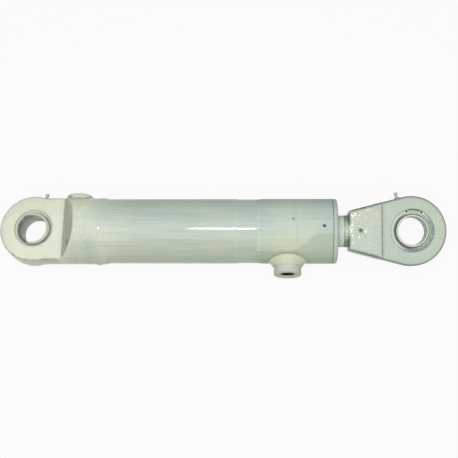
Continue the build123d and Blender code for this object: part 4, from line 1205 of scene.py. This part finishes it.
ball_ends = [(BALL_HALF, PIN_R + 1.0), (BALL_HALF - 1.0, PIN_R)]
ball_section = [(-a, r) for a, r in reversed(ball_ends)]
ball_section += spherical(BALL_R, -BALL_HALF, BALL_HALF) + ball_ends
GREASE_GROOVE = [(-2.0, SEAT_R), (-2.0, SEAT_R - 1.4), (2.0, SEAT_R - 1.4), (2.0, SEAT_R)]
ring_section = spherical(BALL_R + 0.05, RING_HALF, -RING_HALF)
ring_section += [(-RING_HALF, SEAT_R - 1.0), (1.0 - RING_HALF, SEAT_R)] + GREASE_GROOVE
ring_section += [(RING_HALF - 1.0, SEAT_R), (RING_HALF, SEAT_R - 1.0)]


def bearing(end, eye, line, body, lean, spray, thinner):
    """The ball, which may rest a little out of square, and the ring it sits in, oversprayed less
    where thinner says."""
    ball = turned(f"{end}_ball", ball_section, finishes["bearing_steel"], line @ lean, 192, 30)
    depth = np.abs(seen_from(line, points_of(ball)[0])[:, 0])
    mark(ball, "sprayed", ramp(depth, 15.8, 17.2))
    wear(ball, f"{end}_bearing_ring", f"{end}_bearing_inner_ring")

    ring = turned(f"{end}_ring", ring_section, finishes["ring_steel"], line, 192, 30)
    spots = points_of(ring)[0]
    depth = np.abs(seen_from(line, spots)[:, 0])
    local = seen_from(eye, spots)
    mark(ring, "sprayed", ramp(depth, 12.5, 13.9) * (spray - thinner(local[:, 0], local[:, 1])))
    wear(ring, body, f"{end}_bearing_outer_ring")


def thinner_at_base(x, y):
    """Less overspray on the lower right of the base bearing's ring."""
    return ramp(x * 0.8 - y * 0.6, -20, 18) * 0.25


def thinner_at_rod(x, y):
    """Less overspray on the left of the rod bearing's ring."""
    return ramp(-x * 0.9 - y * 0.3, -8, 18) * 0.6


leaning = Matrix.Rotation(BALL_LEAN, 4, "Y")
bearing("base", BASE_EYE, BASE_PIN_LINE, "barrel", leaning, 0.85, thinner_at_base)
bearing("rod", ROD_EYE, ROD_PIN_LINE, "rod", Matrix.Identity(4), 0.6, thinner_at_rod)


def softened(name, node, material, width, sharp=35.0):
    """A node's shape with its sharp edges rounded off."""
    bm = bmesh.new()
    bm.from_mesh(frame["nodes"][node].data)
    bmesh.ops.remove_doubles(bm, verts=bm.verts, dist=1e-7)
    shared = [edge for edge in bm.edges if len(edge.link_faces) == 2]
    flat = [edge for edge in shared if edge.calc_face_angle(0) < radians(1)]
    bmesh.ops.dissolve_edges(bm, edges=flat, use_verts=False)
    shared = [edge for edge in bm.edges if len(edge.link_faces) == 2]
    hard = [edge for edge in shared if edge.calc_face_angle(0) > radians(sharp)]
    bmesh.ops.bevel(
        bm,
        geom=hard,
        offset=width * MM,
        offset_type="OFFSET",
        segments=2,
        profile=0.5,
        affect="EDGES",
        clamp_overlap=True,
    )
    bmesh.ops.triangulate(bm, faces=bm.faces)
    bmesh.ops.scale(bm, vec=(1 / MM,) * 3, verts=bm.verts)
    return new_piece(name, bm, material, 40)


for end, body, eye in (("base", "barrel", BASE_EYE), ("rod", "rod", ROD_EYE)):
    clip = softened(f"{end}_clip", f"{end}_bearing_circlip", finishes["circlip_steel"], 0.35)
    place = in_metres(eye)
    clip.data.transform(place @ Matrix.Rotation(-CLIP_TURN, 4, "Z") @ place.inverted())
    local = seen_from(eye, points_of(clip)[0])
    # Painted shade: each circlip is sprayed less, and so darker, towards its lower right.
    mark(clip, "sprayed", 0.85 - ramp(local[:, 0] * 0.8 - local[:, 1] * 0.6, -6, 16) * 0.8)
    wear(clip, body, f"{end}_bearing_circlip")


# Grease nipples

HEXAGON_FLAT = 4.5
HEXAGON_CORNER = 5.15
NIPPLE_WIDEST = 4.9
nipple_section = [(-6.0, 1.7), (-6.0, 3.6), (-5.6, 4.0), (0.0, 4.0), (0.0, 4.4), (0.4, NIPPLE_WIDEST)]
nipple_section += [(3.6, NIPPLE_WIDEST), (4.0, 4.4), (4.0, 4.0), (5.0, 2.6), (9.0, 2.5), (9.5, 2.8)]
nipple_section += [(10.1, 3.4), (11.9, 3.4), (12.4, 3.1), (13.2, 2.0), (13.2, 1.0), (11.5, 1.0), (10.8, 1.7)]


def nipple_corners(index, angle):
    """Turns the two widest rings of the nipple's section into a hexagon."""
    radius = nipple_section[index][1]
    if radius != NIPPLE_WIDEST:
        return 0.0
    return min(HEXAGON_FLAT / cos((angle % (pi / 3)) - pi / 6), HEXAGON_CORNER) - radius


for end, line, body in (("base", BASE_NIPPLE_LINE, "barrel"), ("rod", ROD_NIPPLE_LINE, "rod")):
    nipple = turned(
        f"{end}_nipple", nipple_section, finishes["nipple_steel"], line, 96, 30, ripple=nipple_corners
    )
    wear(nipple, body, f"{end}_grease_nipple")

# Rod, where it stands out of the gland painted over

STUD_R = 17.5
PISTON_SEAT_R = 20.0
EYE_THREAD_R = 21.0
piston_start, piston_end = reach("piston", X, LOW), reach("piston", X, HIGH)
rod_start, rod_tip = reach("piston_rod", X, LOW), reach("piston_rod", X, HIGH)
rod_section = [(rod_start, 0), (rod_start, STUD_R), (piston_start, STUD_R), (piston_start, PISTON_SEAT_R)]
rod_section += [(piston_end, PISTON_SEAT_R), (piston_end, ROD_R), (GLAND_FACE + 0.2, ROD_R)]
rod_section += [(GLAND_FACE + 0.6, ROD_R), (ROD_END - 0.3, ROD_R), (ROD_END, ROD_R - 0.3)]
rod_section += [(ROD_END, EYE_THREAD_R), (rod_tip, EYE_THREAD_R), (rod_tip, 0)]
rod = turned("rod_bar", rounded(rod_section, 0.4), finishes["rod_chrome"], segments=192)
rod.data.materials.append(finishes["rod_paint"])
for face in rod.data.polygons:
    if GLAND_FACE < face.center.x / MM < ROD_END:
        face.material_index = 1
wear(rod, "rod", "piston_rod")


# Camera, floor and light

TILT = radians(18.0)
YAW = radians(2.5)
DISTANCE = 1.6933
AIM = (347.75, 4.1)
bpy.context.scene.view_settings.view_transform = "Standard"
camera_data = bpy.data.cameras.new("camera")
camera = bpy.data.objects.new("camera", camera_data)
bpy.context.scene.collection.objects.link(camera)
bpy.context.scene.camera = camera
up = Vector((0, cos(TILT), sin(TILT)))
level = Vector((0, -sin(TILT), cos(TILT)))
toward = level * cos(YAW) + Vector((1, 0, 0)) * sin(YAW)
right = Vector((1, 0, 0)) * cos(YAW) - level * sin(YAW)
view = Matrix((right, up, toward)).transposed().to_4x4()
view.translation = Vector((AIM[0] * MM, 0, 0)) + up * AIM[1] * MM + toward * DISTANCE
camera.matrix_world = view
camera_data.sensor_width = 36.0
camera_data.lens = 74.67
camera_data.clip_start = 0.1
camera_data.clip_end = 20.0

bm = bmesh.new()
bmesh.ops.create_grid(bm, x_segments=1, y_segments=1, size=8.0)
floor_white = bpy.data.materials.new("floor_white")
floor = as_object("floor", bm, floor_white)
floor.location = (0.35, 0, -59.5 * MM)


def seen_white(tree, lit, white, end, share=1.0):
    """Fills a tree that lights with one shader, and shows the other to camera, mirror and
    see-through rays as far as share says."""
    tree.nodes.clear()
    graph = Graph(tree)
    path = graph.node("ShaderNodeLightPath")
    rays = [graph.out(path, key) for key in ("Is Camera Ray", "Is Glossy Ray", "Is Transmission Ray")]
    seen = rays[0].most(rays[1]).most(rays[2]) * share
    shaders = {0: seen, 1: graph.get(*lit), 2: graph.get(*white)}
    graph.end(end, graph.get("ShaderNodeMixShader", None, shaders))


WHITE = {"Color": (1, 1, 1, 1), "Strength": 1.0}
floor_white.use_nodes = True
matt = ("ShaderNodeBsdfDiffuse", None, {"Color": (0.60, 0.585, 0.55, 1)})
seen_white(floor_white.node_tree, matt, ("ShaderNodeEmission", None, WHITE), "ShaderNodeOutputMaterial", 0.93)

world = bpy.data.worlds.new("studio")
bpy.context.scene.world = world
world.use_nodes = True
dim = ("ShaderNodeBackground", None, {"Color": (0.93, 0.99, 1.0, 1), "Strength": 0.22})
seen_white(world.node_tree, dim, ("ShaderNodeBackground", None, WHITE), "ShaderNodeOutputWorld")


def lamp(name, place, aim, size, watts):
    """A rectangular soft lamp that looks at a point."""
    data = bpy.data.lights.new(name, "AREA")
    data.shape = "RECTANGLE"
    data.size, data.size_y = size
    data.energy = watts
    made = bpy.data.objects.new(name, data)
    bpy.context.scene.collection.objects.link(made)
    made.location = place
    made.rotation_mode = "QUATERNION"
    made.rotation_quaternion = (Vector(aim) - Vector(place)).to_track_quat("-Z", "Y")


MIDDLE = Vector((0.33, 0, 0))
WINDOW_LEAN = radians(-8.8)
window = MIDDLE + Vector((-0.025, sin(WINDOW_LEAN), cos(WINDOW_LEAN))) * 1.75
lamp("front_window", window, MIDDLE, (0.29, 0.22), 4.6)
lamp("ceiling", (0.33, -0.5, 1.85), MIDDLE, (2.8, 2.6), 39.5)
